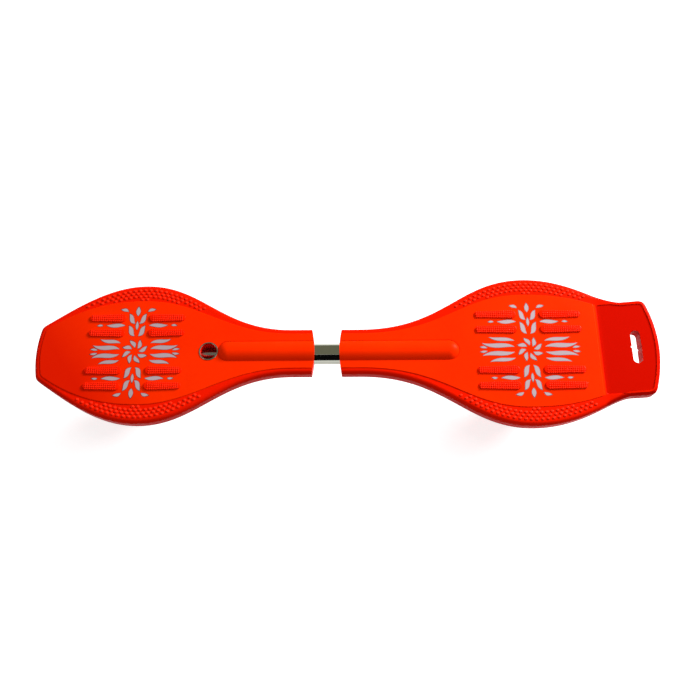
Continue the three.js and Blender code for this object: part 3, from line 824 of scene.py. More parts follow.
@dataclass(frozen=True)
class Finish:
    """A procedural finish: two colours that drift, a roughness with its spread, and a grain.

    Two more colours paint shade on the decks: a darker red on the low band and the kick, and a deeper red on
    the kick's pad and the nose. The grain's depth is in millimetres.
    """

    name: str
    low: Colour
    high: Colour
    roughness: float
    spread: float
    metallic: float = 0.0
    grain: float = 0.1
    grain_depth: float = 0.02
    specular: float = 0.5
    coat: float = 0.0
    coat_roughness: float = 0.08
    tint: Colour = WHITE
    band_shade: Colour | None = None
    shade: Colour = MID_GREY
    drawn: bool = False

    def tone(self, graph: Graph, effects: Effects, place: Socket) -> Socket:
        """Builds the finish's colour.

        Args:
            graph: The material's graph.
            effects: The shared node groups.
            place: The place on the piece.

        Returns:
            The colour.
        """
        tone = graph.group(effects.cloud, place, Low=self.low, High=self.high)["Color"]
        if not self.band_shade:
            return tone
        # The decks' low band and kick, and their kick pad and nose, take darker reds that paint shade.
        shade_zones = graph.group(effects.shade_zones, place)
        return graph.blended(shade_zones["Deep"], graph.blended(shade_zones["Band"], tone, self.band_shade), self.shade)

    def material(self, effects: Effects) -> bpy.types.Material:
        """Builds the finish's material.

        Args:
            effects: The shared node groups.

        Returns:
            The material.
        """
        made = bpy.data.materials.new(self.name)
        made.use_nodes = True
        graph = Graph(made.node_tree)
        shader = made.node_tree.nodes["Principled BSDF"]
        set_inputs(shader, {"Metallic": self.metallic, "Specular IOR Level": self.specular,
                            "Specular Tint": self.tint, "Coat Weight": self.coat,
                            "Coat Roughness": self.coat_roughness})
        place = graph.node("ShaderNodeTexCoord").outputs["Object"]
        grain = graph.group(effects.grain, place, Roughness=self.roughness, Spread=self.spread)
        height = grain["Height"]
        if self.drawn:
            height = graph.math("ADD", height, graph.group(effects.wear, place)["Height"])
        bump = graph.node("ShaderNodeBump")
        set_inputs(bump, {"Strength": self.grain, "Distance": self.grain_depth * MM})
        graph.link(height, bump.inputs["Height"])
        graph.link(self.tone(graph, effects, place), shader.inputs["Base Color"])
        graph.link(grain["Roughness"], shader.inputs["Roughness"])
        graph.link(bump.outputs["Normal"], shader.inputs["Normal"])
        return made


FINISHES = (
    # The deck's two extra reds paint shade on its low band and kick, and deeper shade on its kick pad and
    # nose.
    Finish("deck_plastic", colour(240, 37, 0), colour(247, 44, 0), 0.36, 0.08, grain=0.25, grain_depth=0.03,
           specular=0.03, tint=colour(255, 120, 60), band_shade=colour(232, 22, 0), shade=colour(205, 12, 0)),
    # The grip bars' plastic is a darker copy of the deck's red, which paints the shade between their studs.
    Finish("relief_plastic", colour(238, 22, 0), colour(246, 29, 0), 0.36, 0.08, grain=0.2, specular=0.05,
           tint=colour(255, 140, 80)),
    # The studs' plastic is a lighter copy of the bars' red, which paints a highlight on their tops.
    Finish("stud_plastic", colour(245, 36, 13), colour(251, 44, 20), 0.36, 0.08, grain=0.2, specular=0.05,
           tint=colour(255, 140, 80)),
    Finish("tube_chrome", colour(166, 167, 156), colour(178, 179, 168), 0.07, 0.03, metallic=1, grain=0.04,
           grain_depth=0.01),
    Finish("spring_steel", colour(150, 152, 156), colour(172, 174, 178), 0.3, 0.1, metallic=1, drawn=True),
    Finish("zinc_steel", colour(186, 190, 196), colour(206, 209, 212), 0.32, 0.12, metallic=1),
    Finish("bearing_steel", colour(176, 178, 182), colour(196, 198, 200), 0.2, 0.08, metallic=1, drawn=True),
    Finish("fork_paint", colour(30, 31, 33), colour(40, 41, 43), 0.38, 0.12, grain=0.3, grain_depth=0.05,
           coat=0.2),
    Finish("nylon", colour(224, 219, 204), colour(234, 230, 218), 0.48, 0.08, grain=0.2),
    Finish("hub_nylon", colour(218, 218, 212), colour(230, 230, 226), 0.42, 0.08, grain=0.2),
    Finish("tyre_urethane", colour(24, 25, 27), colour(34, 35, 37), 0.45, 0.12, grain=0.35, grain_depth=0.05),
    Finish("ink_pale", colour(166, 147, 153), colour(176, 159, 164), 0.45, 0.06, grain=0.2, specular=0.2),
    Finish("ink_dark", colour(104, 34, 26), colour(122, 46, 34), 0.5, 0.06, grain=0.2, specular=0.2),
)


# The decks
@dataclass
class Deck:
    """What both decks share: a rounded shell, a raised panel, the tube's ridge, grip bars and edge studs.

    Sizes are in millimetres. A stud's three sizes are its half lengths along, across and up. The panel's
    border and the bars' layers are given step by step: how far each goes in, and its height or its share of
    the height.
    """

    name: str
    body: str
    length: float
    half_width: float
    ridge_centre: float
    bar_centre: float
    half_neck: float = 33.0
    neck_bow: float = 3.5
    neck_ease: float = 0.7
    edge_radius: float = 6.0
    edge_rounds: int = 6
    edge_land: float = 0.4
    panel_rise: float = 0.8
    panel_border: tuple[Point, ...] = ((0.25, 0.12), (0.5, 0.76), (0.25, 0.12), (0.4, 0.0))
    wall: float = 4.3
    hollow_past: float = 5.0
    core_inset: float = 2.0
    core_depth: float = 2.5
    core_reach: float = 60.0
    ridge_radius: float = 20.0
    ridge_rounds: int = 14
    ridge_lip: float = 0.8
    ridge_root: float = 3.0
    moat: float = 0.7
    moat_depth: float = 0.8
    bore_radius: float = 15.3
    bore_depth: float = 8.0
    bore_past: float = 4.0
    past: float = 9.0
    bar_length: float = 51.0
    bar_gap: float = 32.0
    bar_row: float = 27.5
    bar_pitch: float = 22.4
    bar_inner: float = 6.0
    bar_outer: float = 4.8
    bar_layers: tuple[Point, ...] = ((0.0, -0.6), (0.0, 0.8), (0.25, 1.25), (0.8, 1.6), (1.6, 1.75))
    bar_stud: Size = (1.3, 1.2, 0.9)
    bar_stud_pitch: float = 2.9
    bar_stud_rows: int = 4
    bar_stud_inset: float = 1.25
    bar_stud_rises: Point = (1.2, 1.5)
    edge_stud: Size = (2.6, 2.1, 1.05)
    edge_stud_pitch: float = 8.0
    edge_row_first: float = 8.6
    edge_row_pitch: float = 4.7
    edge_rows: int = 4
    edge_row_clear: float = 2.2
    print_margin: float = 7.0

    def rim(self, past: float = 0.0) -> list[Stroke]:
        """Returns the strokes of the half outline above the centreline, with the neck run on by a length."""
        raise NotImplementedError

    def panel(self, past: float = 0.0) -> list[Stroke]:
        """Returns the strokes of the raised panel's half outline, with its neck run on by a length."""
        raise NotImplementedError

    def stud_rows(self) -> Walk:
        """Yields points of the rim, with the inward direction and the width of the studded band there."""
        raise NotImplementedError

    def neck_end(self) -> float:
        """Returns the X of the neck's end at the centreline."""
        raise NotImplementedError

    def bend(self, shape: Shape) -> Shape:
        """Bends a flat shape to the deck's own side view, and returns it."""
        return shape

    def outward(self) -> float:
        """Returns 1 where the neck points along X, and -1 where it points against it."""
        return math.copysign(1, self.neck_end() - self.ridge_centre)

    def fields(self) -> list[tuple[list[Stroke], float]]:
        """Returns the half outline of each field inside the rim, with how far it stands proud."""
        return [(self.panel(self.past), self.panel_rise)]

    def outer(self) -> Shape:
        """Builds the closed outer body: rounded rim, raised panel and skirt.

        Returns:
            The closed solid, not yet hollow.
        """
        base = TOP_Z - self.panel_rise
        foot = base - self.edge_radius
        bm = wire(both_sides(self.rim(self.past)), foot)
        cap = lid(bm, bm.edges)
        rounded_over(bm, cap, self.edge_radius, self.edge_rounds)
        inset(bm, cap, self.edge_land)
        borders = list(cap.edges)
        bmesh.ops.delete(bm, geom=[cap], context="FACES_ONLY")
        fields = [(draw_loop(bm, strokes, base), rise) for strokes, rise in self.fields()]
        for edges, _ in fields:
            borders.extend(edges)
        bmesh.ops.triangle_fill(bm, use_beauty=True, normal=(0, 0, 1), edges=borders)
        for edges, rise in fields:
            top = lid(bm, edges)
            for thickness, share in self.panel_border:
                inset(bm, top, thickness, rise * share)
        rim_edges = [edge for edge in bm.edges if edge.is_boundary and edge.verts[0].co.z < foot + WELD]
        made = bmesh.ops.extrude_edge_only(bm, edges=rim_edges)["geom"]
        low = only(bmesh.types.BMVert, made)
        for vert in low:
            vert.co.z = SKIRT_Z
        lower_edges = [edge for edge in only(Edge, made) if all(vert in low for vert in edge.verts)]
        bmesh.ops.edgeloop_fill(bm, edges=lower_edges)
        bmesh.ops.recalc_face_normals(bm, faces=bm.faces)
        return bm

    def inner(self, margin: float, low: float, high: float) -> Shape:
        """Returns an upright solid inside the rim, bent as the deck is."""
        return self.bend(prism(wire(both_sides(self.rim())), low, high, margin))

    def above(self, height: float) -> Shape:
        """Returns a block that holds everything over a height."""
        return block((-OVER_ALL.x, -OVER_ALL.y, height), (OVER_ALL.x, OVER_ALL.y, height + OVER_ALL.z))

    def ridge(self, grow: float = 0.0) -> Shape:
        """Builds the round body over the tube, with its domed end.

        Args:
            grow: How far it is grown.

        Returns:
            The solid, run on past the neck's end.
        """
        radius, side = self.ridge_radius + grow, self.outward()
        angles = [math.pi / 2 * k / self.ridge_rounds for k in range(self.ridge_rounds + 1)]
        dome = [(radius * math.sin(angle), -side * radius * math.cos(angle)) for angle in angles]
        end = self.neck_end() + side * self.past - self.ridge_centre
        section = [*dome, (radius, end - side * self.ridge_lip), (radius - self.ridge_lip, end), (0, end)]
        return turned(section, WHEEL_STEPS, Matrix.Translation((self.ridge_centre, 0, 0)) @ ALONG_TUBE)

    def end_cut(self) -> Shape:
        """Builds the cutter that ends the neck along its bowed end face.

        Returns:
            The solid that is cut away.
        """
        side, neck, tip = self.outward(), self.half_neck, self.neck_end()
        corner, slope = tip - side * self.neck_bow, side * 2 * self.neck_bow / self.half_neck
        beside, beyond = 12.0, 30.0
        outer = (corner - slope * beside, neck + beside)
        far = (tip + side * beyond, neck + beside)
        strokes = [
            Stroke((tip, 0), (tip, neck / 3), (corner + slope * neck / 3, neck * 2 / 3), (corner, neck), 12),
            Stroke.line((corner, neck), outer, 1),
            Stroke.line(outer, far, 1),
            Stroke.line(far, (tip + side * beyond, 0), 1),
        ]
        return prism(wire(both_sides(strokes)), SKIRT_Z - self.core_reach, TOP_Z + self.core_reach)

    def cuts(self) -> list[Shape]:
        """Builds what is cut from the deck at the end.

        Returns:
            The neck's end cutter and the bore.
        """
        side = self.outward()
        place = Matrix.Translation((self.neck_end() - side * self.bore_depth, 0, 0)) @ ALONG_TUBE
        length = self.bore_depth + self.bore_past
        return [self.end_cut(), rod(self.bore_radius, 0, side * length, BORE_STEPS, place)]

    def soften_end(self, shape: Shape) -> None:
        """Rounds the neck's cut edge a little, where the end face meets the outside.

        Args:
            shape: The deck.
        """
        near, depth, sharp = 0.15, 12.0, math.radians(50)

        def on_end(vert: bmesh.types.BMVert) -> bool:
            """Says whether a vertex lies on the bowed end face."""
            bow = self.neck_bow * (vert.co.y / self.half_neck) ** 2
            return abs(abs(self.neck_end() - vert.co.x) - bow) < near and vert.co.z > TOP_Z - depth

        edges = [edge for edge in shape.edges if all(on_end(vert) for vert in edge.verts)
                 and edge.is_manifold and edge.is_convex and edge.calc_face_angle() > sharp]
        bmesh.ops.bevel(shape, geom=edges, offset=self.neck_ease, segments=3, profile=0.5, affect="EDGES",
                        material=-1, clamp_overlap=True)

    def shell(self) -> Shape:
        """Builds the deck as one solid: fine outside, with the ribs, boss and housing of the CAD deck below.

        Returns:
            The closed solid.
        """
        moat = combined(self.ridge(self.moat), [self.above(TOP_Z - self.moat_depth)], Join.KEEP)
        outer = combined(self.bend(self.outer()), [moat], Join.CUT)
        outer = combined(outer, [self.inner(self.wall, SKIRT_Z - self.hollow_past, TOP_Z - self.wall)],
                         Join.CUT)
        filling = self.inner(self.core_inset, SKIRT_Z - self.core_reach, TOP_Z - self.core_depth)
        core = combined(cad_solid(self.name), [filling], Join.KEEP)
        ridge = combined(self.ridge(), [self.above(TOP_Z - self.ridge_root)], Join.KEEP)
        whole = combined(outer, [core, ridge], Join.ADD)
        whole = combined(whole, self.cuts(), Join.CUT)
        bmesh.ops.dissolve_degenerate(whole, dist=SLIVER, edges=whole.edges)
        self.soften_end(whole)
        return whole

    def bars(self) -> list[Shape]:
        """Builds the grip bars, each with rows of fine studs on its top.

        Returns:
            Each bar's body and studs.
        """
        near, far = self.bar_gap / 2 + self.bar_inner, self.bar_gap / 2 + self.bar_length - self.bar_outer
        made = []
        for direction in (-1, 1):
            for side in (-1, 1):
                for row in (0, 1):
                    made.extend(self.bar(self.bar_centre + direction * near,
                                         self.bar_centre + direction * far,
                                         side * (self.bar_row + row * self.bar_pitch)))
        return made

    def bar(self, inner_x: float, outer_x: float, y: float) -> list[Shape]:
        """Builds one grip bar and its studs.

        Args:
            inner_x: The centre of its wide end.
            outer_x: The centre of its narrow end.
            y: Its place across the board.

        Returns:
            The bar's body and its studs.
        """
        rings = []
        for x, radius in ((inner_x, self.bar_inner), (outer_x, self.bar_outer)):
            place = Matrix.Translation((x, y, TOP_Z))
            rings.extend((radius - shrink, height, place) for shrink, height in self.bar_layers)
        studs = bmesh.new()
        reach, last = abs(outer_x - inner_x), self.bar_stud_rows - 1
        outer_rise, inner_rise = self.bar_stud_rises
        for column in range(-1, int((reach + self.bar_inner) / self.bar_stud_pitch)):
            along = column * self.bar_stud_pitch
            radius = self.bar_inner + (self.bar_outer - self.bar_inner) * min(max(along / reach, 0), 1)
            x = inner_x + math.copysign(along, outer_x - inner_x)
            for row in range(self.bar_stud_rows):
                across = (row - last / 2) * (radius - self.bar_stud_inset) * 2 / last
                rise = outer_rise if row in (0, last) else inner_rise
                add_stud(studs, (x, y + across, TOP_Z + rise), self.bar_stud, 8, 5)
        # The studs take the bars' second finish, a lighter red that paints a highlight on their tops.
        for face in studs.faces:
            face.material_index = 1
        return [hull(rings, SCREW_STEPS), studs]

    def studs(self) -> Shape:
        """Builds the low round studs of both edge bands, every other row set off by half a pitch.

        Returns:
            The studs.
        """
        bm = bmesh.new()
        travelled, last = 0.0, None
        marks = [0] * self.edge_rows
        for place, inward, width in self.stud_rows():
            if last is not None:
                travelled += (place - last).length
            last = place
            for row in range(self.edge_rows):
                stagger = 0.5 if row % 2 else 0.0
                if travelled < (marks[row] + stagger) * self.edge_stud_pitch:
                    continue
                marks[row] = int((travelled - stagger * self.edge_stud_pitch) / self.edge_stud_pitch) + 1
                offset = self.edge_row_first + row * self.edge_row_pitch
                if offset > width - self.edge_row_clear:
                    continue
                spot = place + inward * offset
                for side in (-1, 1):
                    add_stud(bm, (spot.x, side * spot.y, TOP_Z - self.panel_rise), self.edge_stud, 10, 6)
        return bm

    def build(self, materials: Materials) -> None:
        """Makes and places the deck, its bars, its studs and its print.

        Args:
            materials: The finishes' materials by name.
        """
        def put(kind: str, shape: Shape, finishes: Sequence[str], **settings: object) -> None:
            """Places one piece of this deck."""
            Piece(self.name.replace("deck", kind), shape, self.body, "deck_plastic",
                  tuple(materials[finish] for finish in finishes), **settings).place()

        put("moulding", self.shell(), ("deck_plastic",), replaced=(self.name,), weighted=True)
        # The bars wear a darker red that paints the shade between their studs, and their studs the lighter
        # red.
        put("grip_bars", merged(self.bars()), ("relief_plastic", "stud_plastic"), smooth=SMOOTH_BARS)
        # The edge studs wear the lighter red that paints a highlight on their tops.
        put("edge_studs", self.studs(), ("stud_plastic",), smooth=SMOOTH_STUDS)
        reach = self.bar_gap / 2 + self.bar_length - self.print_margin
        put("print", Ornament(self.bar_centre, self.bar_row, reach).build(), ("ink_pale", "ink_dark"))


@dataclass
class FrontDeck(Deck):
    """The front deck, from its blunt nose to its neck."""

    name: str = "front_deck"
    body: str = "front_half"
    length: float = FRONT_NECK_X - NOSE_X
    half_width: float = 101.5
    ridge_centre: float = ACCESS_X + 27.0
    bar_centre: float = NOSE_X + 138.5
    nose_bow: float = 3.0
    border: float = 7.6
    seat_ledge: float = 1.9
    seat_gap: float = 0.2
    stud_reach: Point = (62.0, 238.0)

    def neck_end(self) -> float:
        """Returns the X of the neck's end at the centreline."""
        return FRONT_NECK_X

    def rim(self, past: float = 0.0) -> list[Stroke]:
        """Draws the half outline above the centreline.

        Args:
            past: How far the neck is run on past its end.

        Returns:
            Its strokes, from the nose on.
        """
        nose, length, half, neck = NOSE_X, self.length, self.half_width, self.half_neck
        corner = nose + self.nose_bow
        widest = (nose + length * 0.381, half)
        narrow = (nose + length * 0.916, neck)
        end = FRONT_NECK_X - self.neck_bow + past
        middle = FRONT_NECK_X + past
        return [
            Stroke((nose, 0), (nose, 14), (corner - 1.0, 26), (corner + 0.6, 34), 5),
            Stroke((corner + 0.6, 34), (corner + 1.8, 39), (corner + 4.5, 40.6), (corner + 9, 43.7), 6),
            Stroke((corner + 9, 43.7), (nose + length * 0.138, half * 0.706), (nose + length * 0.248, half),
                   widest, 26),
            Stroke(widest, (nose + length * 0.585, half), (nose + length * 0.662, neck), narrow, 30),
            Stroke.line(narrow, (end, neck), 4),
            Stroke((end, neck), (end + 2.33, neck * 2 / 3), (middle, neck / 3), (middle, 0), 5),
        ]

    def panel(self, past: float = 0.0) -> list[Stroke]:
        """Draws the raised panel's half outline.

        Args:
            past: How far the neck is run on past its end.

        Returns:
            Its strokes, from the nose on.
        """
        nose, length = NOSE_X + self.border, self.length
        corner = nose + self.nose_bow
        widest = (NOSE_X + length * 0.381, self.half_width - 25)
        narrow = (NOSE_X + length * 0.916, self.half_neck - 7.2)
        end = FRONT_NECK_X - self.neck_bow - self.border + past
        return [
            Stroke((nose, 0), (nose, 12), (corner - 1.0, 24), (corner + 0.6, 31), 6),
            Stroke((corner + 0.6, 31), (corner + 1.8, 35), (corner + 4, 36.4), (corner + 8, 39), 5),
            Stroke((corner + 8, 39), (nose + length * 0.12, 62), (nose + length * 0.22, widest[1]),
                   widest, 26),
            Stroke(widest, (nose + length * 0.56, widest[1]), (nose + length * 0.662, narrow[1]), narrow, 30),
            Stroke.line(narrow, (end, narrow[1]), 4),
            Stroke((end, narrow[1]), (end + 1.6, narrow[1] * 2 / 3), (end + 2.6, narrow[1] / 3),
                   (end + 2.6, 0), 5),
        ]

    def stud_rows(self) -> Walk:
        """Yields points of the rim, with the inward direction and the width of the studded band there."""
        start, end = self.stud_reach
        yield from stud_line(self.rim()[2:4], self.panel()[2:4], NOSE_X + start, NOSE_X + end)

    def cuts(self) -> list[Shape]:
        """Builds what is cut from the deck at the end.

        Returns:
            The end cutter, the bore, and the access hole with its ring's seat.
        """
        hole, seat = RING_RADIUS - self.seat_ledge, RING_RADIUS + self.seat_gap
        floor = -self.panel_rise
        section = [(0, -20), (hole, -20), (hole, floor), (seat, floor), (seat, 12), (0, 12)]
        place = Matrix.Translation((ACCESS_X, 0, TOP_Z))
        return [*super().cuts(), turned(section, BORE_STEPS, place)]


@dataclass
class RearDeck(Deck):
    """The rear deck, from its neck to the kick with the carrying slot."""

    name: str = "rear_deck"
    body: str = "rear_half"
    length: float = TAIL_X - REAR_NECK_X
    half_width: float = 108.0
    ridge_centre: float = TUBE_HIGH.x + 15.5
    bar_centre: float = REAR_NECK_X + 264.0
    bar_length: float = 58.5
    bar_row: float = 29.8
    bore_radius: float = 17.95
    half_tail: float = 69.0
    tail_bow: float = 8.5
    tail_corner: float = 12.0
    kick_reach: float = KICK_REACH
    kick_angle: float = KICK_ANGLE
    kick_soft: float = 5.0
    border: float = 7.6
    rim_width: float = 5.5
    pad_depth: float = 0.6
    slot_centre: float = 30.0
    slot_half: float = 17.5
    slot_radius: float = 6.0
    slot_nick: float = 1.5
    slot_gap: float = 0.15
    stud_reach: Point = (160.0, 356.0)

    def neck_end(self) -> float:
        """Returns the X of the neck's end at the centreline."""
        return REAR_NECK_X

    def bend(self, shape: Shape) -> Shape:
        """Bends the tail up about the crease.

        Args:
            shape: The flat shape.

        Returns:
            The same shape, bent.
        """
        crease, soft = TAIL_X - self.kick_reach, self.kick_soft
        for step in range(-3, 4):
            place = crease + soft * step / 3
            bmesh.ops.bisect_plane(shape, geom=[*shape.verts, *shape.edges, *shape.faces], dist=SLIVER,
                                   plane_co=(place, 0, 0), plane_no=(1, 0, 0))
        slope = math.tan(self.kick_angle)
        for vert in shape.verts:
            past = vert.co.x - crease
            if past > soft:
                vert.co.z += slope * past
            elif past > -soft:
                vert.co.z += slope * (past + soft) ** 2 / (4 * soft)
        return shape

    def rim(self, past: float = 0.0) -> list[Stroke]:
        """Draws the half outline above the centreline.

        Args:
            past: How far the neck is run on past its end.

        Returns:
            Its strokes, from the neck on.
        """
        neck_x, length, half = REAR_NECK_X, self.length, self.half_width
        neck, tail = self.half_neck, self.half_tail
        corner = TAIL_X - self.tail_bow
        widest = (neck_x + length * 0.601, half)
        narrow = (neck_x + length * 0.0663, neck)
        waist = (neck_x + length * 0.9075, tail)
        middle = neck_x - past
        start = middle + self.neck_bow
        cut = self.tail_corner
        return [
            Stroke((middle, 0), (middle, neck / 3), (start - 2.33, neck * 2 / 3), (start, neck), 5),
            Stroke.line((start, neck), narrow, 3),
            Stroke(narrow, (neck_x + length * 0.341, neck), (neck_x + length * 0.388, half), widest, 36),
            Stroke(widest, (neck_x + length * 0.756, half), (neck_x + length * 0.85, tail), waist, 24),
            Stroke.line(waist, (corner - cut, tail), 3),
            Stroke((corner - cut, tail), (corner - cut * 0.4, tail), (corner - 1.6, tail - cut * 0.4),
                   (corner, tail - cut), 8),
            Stroke((corner, tail - cut), (TAIL_X - 2.8, (tail - cut) * 2 / 3), (TAIL_X, (tail - cut) / 3),
                   (TAIL_X, 0), 10),
        ]

    def panel(self, past: float = 0.0) -> list[Stroke]:
        """Draws the raised panel's half outline.

        Args:
            past: How far the neck is run on past its end.

        Returns:
            Its strokes, from the neck on.
        """
        neck_x, length, neck = REAR_NECK_X + self.border, self.length, self.half_neck - 7.2
        middle = neck_x - past
        end = TAIL_X - self.kick_reach - 3.7
        widest = (neck_x + length * 0.575, self.half_width - 25)
        narrow = (neck_x + length * 0.05, neck)
        return [
            Stroke((middle, 0), (middle, neck / 3), (middle + 0.8, neck * 2 / 3), (middle + 1.8, neck), 5),
            Stroke.line((middle + 1.8, neck), narrow, 3),
            Stroke(narrow, (neck_x + length * 0.32, neck), (neck_x + length * 0.37, widest[1]), widest, 36),
            Stroke(widest, (neck_x + length * 0.68, widest[1]), (neck_x + length * 0.74, 76),
                   (end - 3, 68.5), 16),
            Stroke((end - 3, 68.5), (end - 1.2, 68), (end, 67), (end, 65), 4),
            Stroke.line((end, 65), (end, 0), 8),
        ]

    def stud_rows(self) -> Walk:
        """Yields points of the rim, with the inward direction and the width of the studded band there."""
        start, end = self.stud_reach
        yield from stud_line(self.rim()[2:4], self.panel()[2:4], REAR_NECK_X + start, REAR_NECK_X + end)

    def fields(self) -> list[tuple[list[Stroke], float]]:
        """Draws the fields inside the rim.

        Returns:
            The half outlines of the panel, which stands proud, and the kick's sunk pad, with their rise.
        """
        start, end = TAIL_X - self.kick_reach - 1.3, TAIL_X - self.rim_width
        half, corner = self.half_tail - 3.0, 9.0
        pad = [
            Stroke.line((start, 0), (start, half - 4), 8),
            Stroke((start, half - 4), (start, half - 1.5), (start + 1.5, half), (start + 4, half), 4),
            Stroke.line((start + 4, half), (end - 17, half - 0.5), 8),
            Stroke((end - 17, half - 0.5), (end - 11, half - 0.5), (end - 9, half - corner * 0.6),
                   (end - 8, half - corner - 2), 6),
            Stroke((end - 8, half - corner - 2), (end - 2.6, half * 0.55), (end, half * 0.28), (end, 0), 10),
        ]
        return [*super().fields(), (pad, -self.pad_depth)]

    def slot(self) -> Shape:
        """Builds the cutter of the carrying slot, which has a small nick in the middle of each side.

        Returns:
            The solid that is cut away.
        """
        x, half, radius, nick = TAIL_X - self.slot_centre, self.slot_half, self.slot_radius, self.slot_nick
        strokes = []
        for side in (1, -1):
            wall, grip = x + side * radius, x + side * radius * KAPPA
            strokes += [
                Stroke((x, half + radius), (grip, half + radius), (wall, half + radius * KAPPA),
                       (wall, half), 10),
                Stroke.line((wall, half), (wall, nick), 2),
                Stroke.line((wall, nick), (wall + side * nick, 0), 1),
            ]
        return prism(wire(both_sides(strokes)), SKIRT_Z - 20, TOP_Z + self.core_reach, -self.slot_gap)

    def cuts(self) -> list[Shape]:
        """Returns the bore and the carrying slot."""
        return [*super().cuts(), self.slot()]


def stud_line(rims: Sequence[Stroke], panels: Sequence[Stroke], start: float, end: float) -> Walk:
    """Walks along a flank between its rim and the panel's border.

    Args:
        rims: The rim's strokes along the flank.
        panels: The panel's strokes beside them.
        start: The X where the studs begin.
        end: The X where they end.

    Yields:
        A point of the rim, the inward direction and the band's width.
    """
    steps = 400
    border = [stroke.point(k / steps) for stroke in panels for k in range(steps + 1)]
    for stroke in rims:
        for k in range(steps):
            here, ahead = stroke.point(k / steps), stroke.point((k + 1) / steps)
            if not start <= here.x <= end:
                continue
            along = (ahead - here).normalized()
            inward = Vector((along.y, -along.x))
            if inward.y > 0:
                inward = -inward
            yield here, inward, min((point - here).length for point in border[::8])


# Hardware: turned and pressed pieces take the body and the finish of the CAD node that they stand for
SLOT_OF_NODE = {entry["node"]: entry["material_slot"] for entry in frame["record"]["subparts"]}
ACROSS = Matrix.Rotation(-math.pi / 2, 4, "X")


def eased(section: Sequence[Point], ease: float, steps: int = 3) -> list[Point]:
    """Rounds a section's corners.

    Args:
        section: The points. A ring's section ends at its first point.
        ease: How far from a corner the rounding starts.
        steps: The number of runs in each rounding.

    Returns:
        The rounded section.
    """
    ring = section[0] == section[-1]
    points = [Vector(p) for p in (section[:-1] if ring else section)]
    made: list[Point] = []
    for k, here in enumerate(points):
        if not ring and k in (0, len(points) - 1):
            made.append(tuple(here))
            continue
        before, after = points[k - 1] - here, points[(k + 1) % len(points)] - here
        start = here + before * min(ease / before.length, 0.45)
        end = here + after * min(ease / after.length, 0.45)
        for step in range(steps + 1):
            share = step / steps
            made.append(tuple(start * (1 - share) ** 2 + here * 2 * share * (1 - share) + end * share ** 2))
    return [*made, made[0]] if ring else made


def upright(node: str) -> Matrix:
    """Returns the place of an upright axis through a node's middle."""
    low, high = node_box(node)
    return Matrix.Translation(((low.x + high.x) / 2, (low.y + high.y) / 2, 0))


def sleeve(inner: float, outer: float, low: float, high: float, ease: float = 0.4, steps: int = SLEEVE_STEPS,
           place: Matrix = AT_ORIGIN) -> Shape:
    """Returns a tube with eased edges."""
    section = [(inner, low), (outer, low), (outer, high), (inner, high), (inner, low)]
    return turned(eased(section, ease), steps, place)


def bearing(bore: float, outer: float, low: float, high: float, place: Matrix) -> Shape:
    """Builds a ball bearing's two races, with the shields sunk between them.

    Args:
        bore: The bore's radius.
        outer: The outer radius.
        low: Its bottom height.
        high: Its top height.
        place: Where it goes.

    Returns:
        The closed solid.
    """
    land, sink, ease = (outer - bore) * 0.27, 0.5, 0.25
    half = [(bore, high), (bore + land, high), (bore + land, high - sink), (outer - land, high - sink),
            (outer - land, high), (outer, high)]
    other = [(radius, low + high - height) for radius, height in reversed(half)]
    return turned(eased([*half, *other, half[0]], ease, 2), SLEEVE_STEPS, place)


def thread(radius: float, low: float, high: float, pitch: float = 1.25, depth: float = 0.45) -> list[Point]:
    """Draws the section of a threaded stretch.

    Args:
        radius: The thread's outer radius.
        low: Where it begins.
        high: Where it ends.
        pitch: The length of a turn.
        depth: The thread's depth.

    Returns:
        The points, from low to high.
    """
    turns = round((high - low) / pitch)
    step = (high - low) / turns
    return [point for k in range(turns) for point in ((radius - depth, low + k * step),
                                                      (radius, low + (k + 0.5) * step))]


def hexagon(across: float, low: float, high: float, bore: float, place: Matrix) -> Shape:
    """Returns a nut or a bolt head: a hexagon with turned corners, and its bore if it has one.

    Args:
        across: The width across its flats.
        low: Its bottom height.
        high: Its top height.
        bore: The bore's radius, or nothing.
        place: Where it goes.

    Returns:
        The closed solid.
    """
    corner, flat = across / math.sqrt(3), across / 2
    drop = (corner - flat) * 0.6
    face, past = flat * 0.97, corner + 0.1
    cone = [(0, low), (face, low), (past, low + drop), (past, high - drop), (face, high), (0, high)]
    made = combined(hull(((corner, low, place), (corner, high, place)), 6), [turned(cone, PIN_STEPS, place)],
                    Join.KEEP)
    if bore:
        mouth = bore + 1.5
        hole = [(0, low - 1), (mouth, low - 1), (bore, low + 0.5), (bore, high - 0.5), (mouth, high + 1),
                (0, high + 1)]
        made = combined(made, [turned(hole, PIN_STEPS, place)], Join.CUT)
    return made


def rounded_rectangle(half_x: float, half_y: float, corner: float) -> list[Stroke]:
    """Draws a rounded rectangle about the origin.

    Args:
        half_x: Half its length.
        half_y: Half its width.
        corner: Its corners' radius.

    Returns:
        Its strokes.
    """
    grip = corner * (1 - KAPPA)
    return both_sides([
        Stroke.line((half_x, 0), (half_x, half_y - corner), 2),
        Stroke((half_x, half_y - corner), (half_x, half_y - grip), (half_x - grip, half_y),
               (half_x - corner, half_y), 8),
        Stroke.line((half_x - corner, half_y), (corner - half_x, half_y), 3),
        Stroke((corner - half_x, half_y), (grip - half_x, half_y), (-half_x, half_y - grip),
               (-half_x, half_y - corner), 8),
        Stroke.line((-half_x, half_y - corner), (-half_x, 0), 2),
    ])


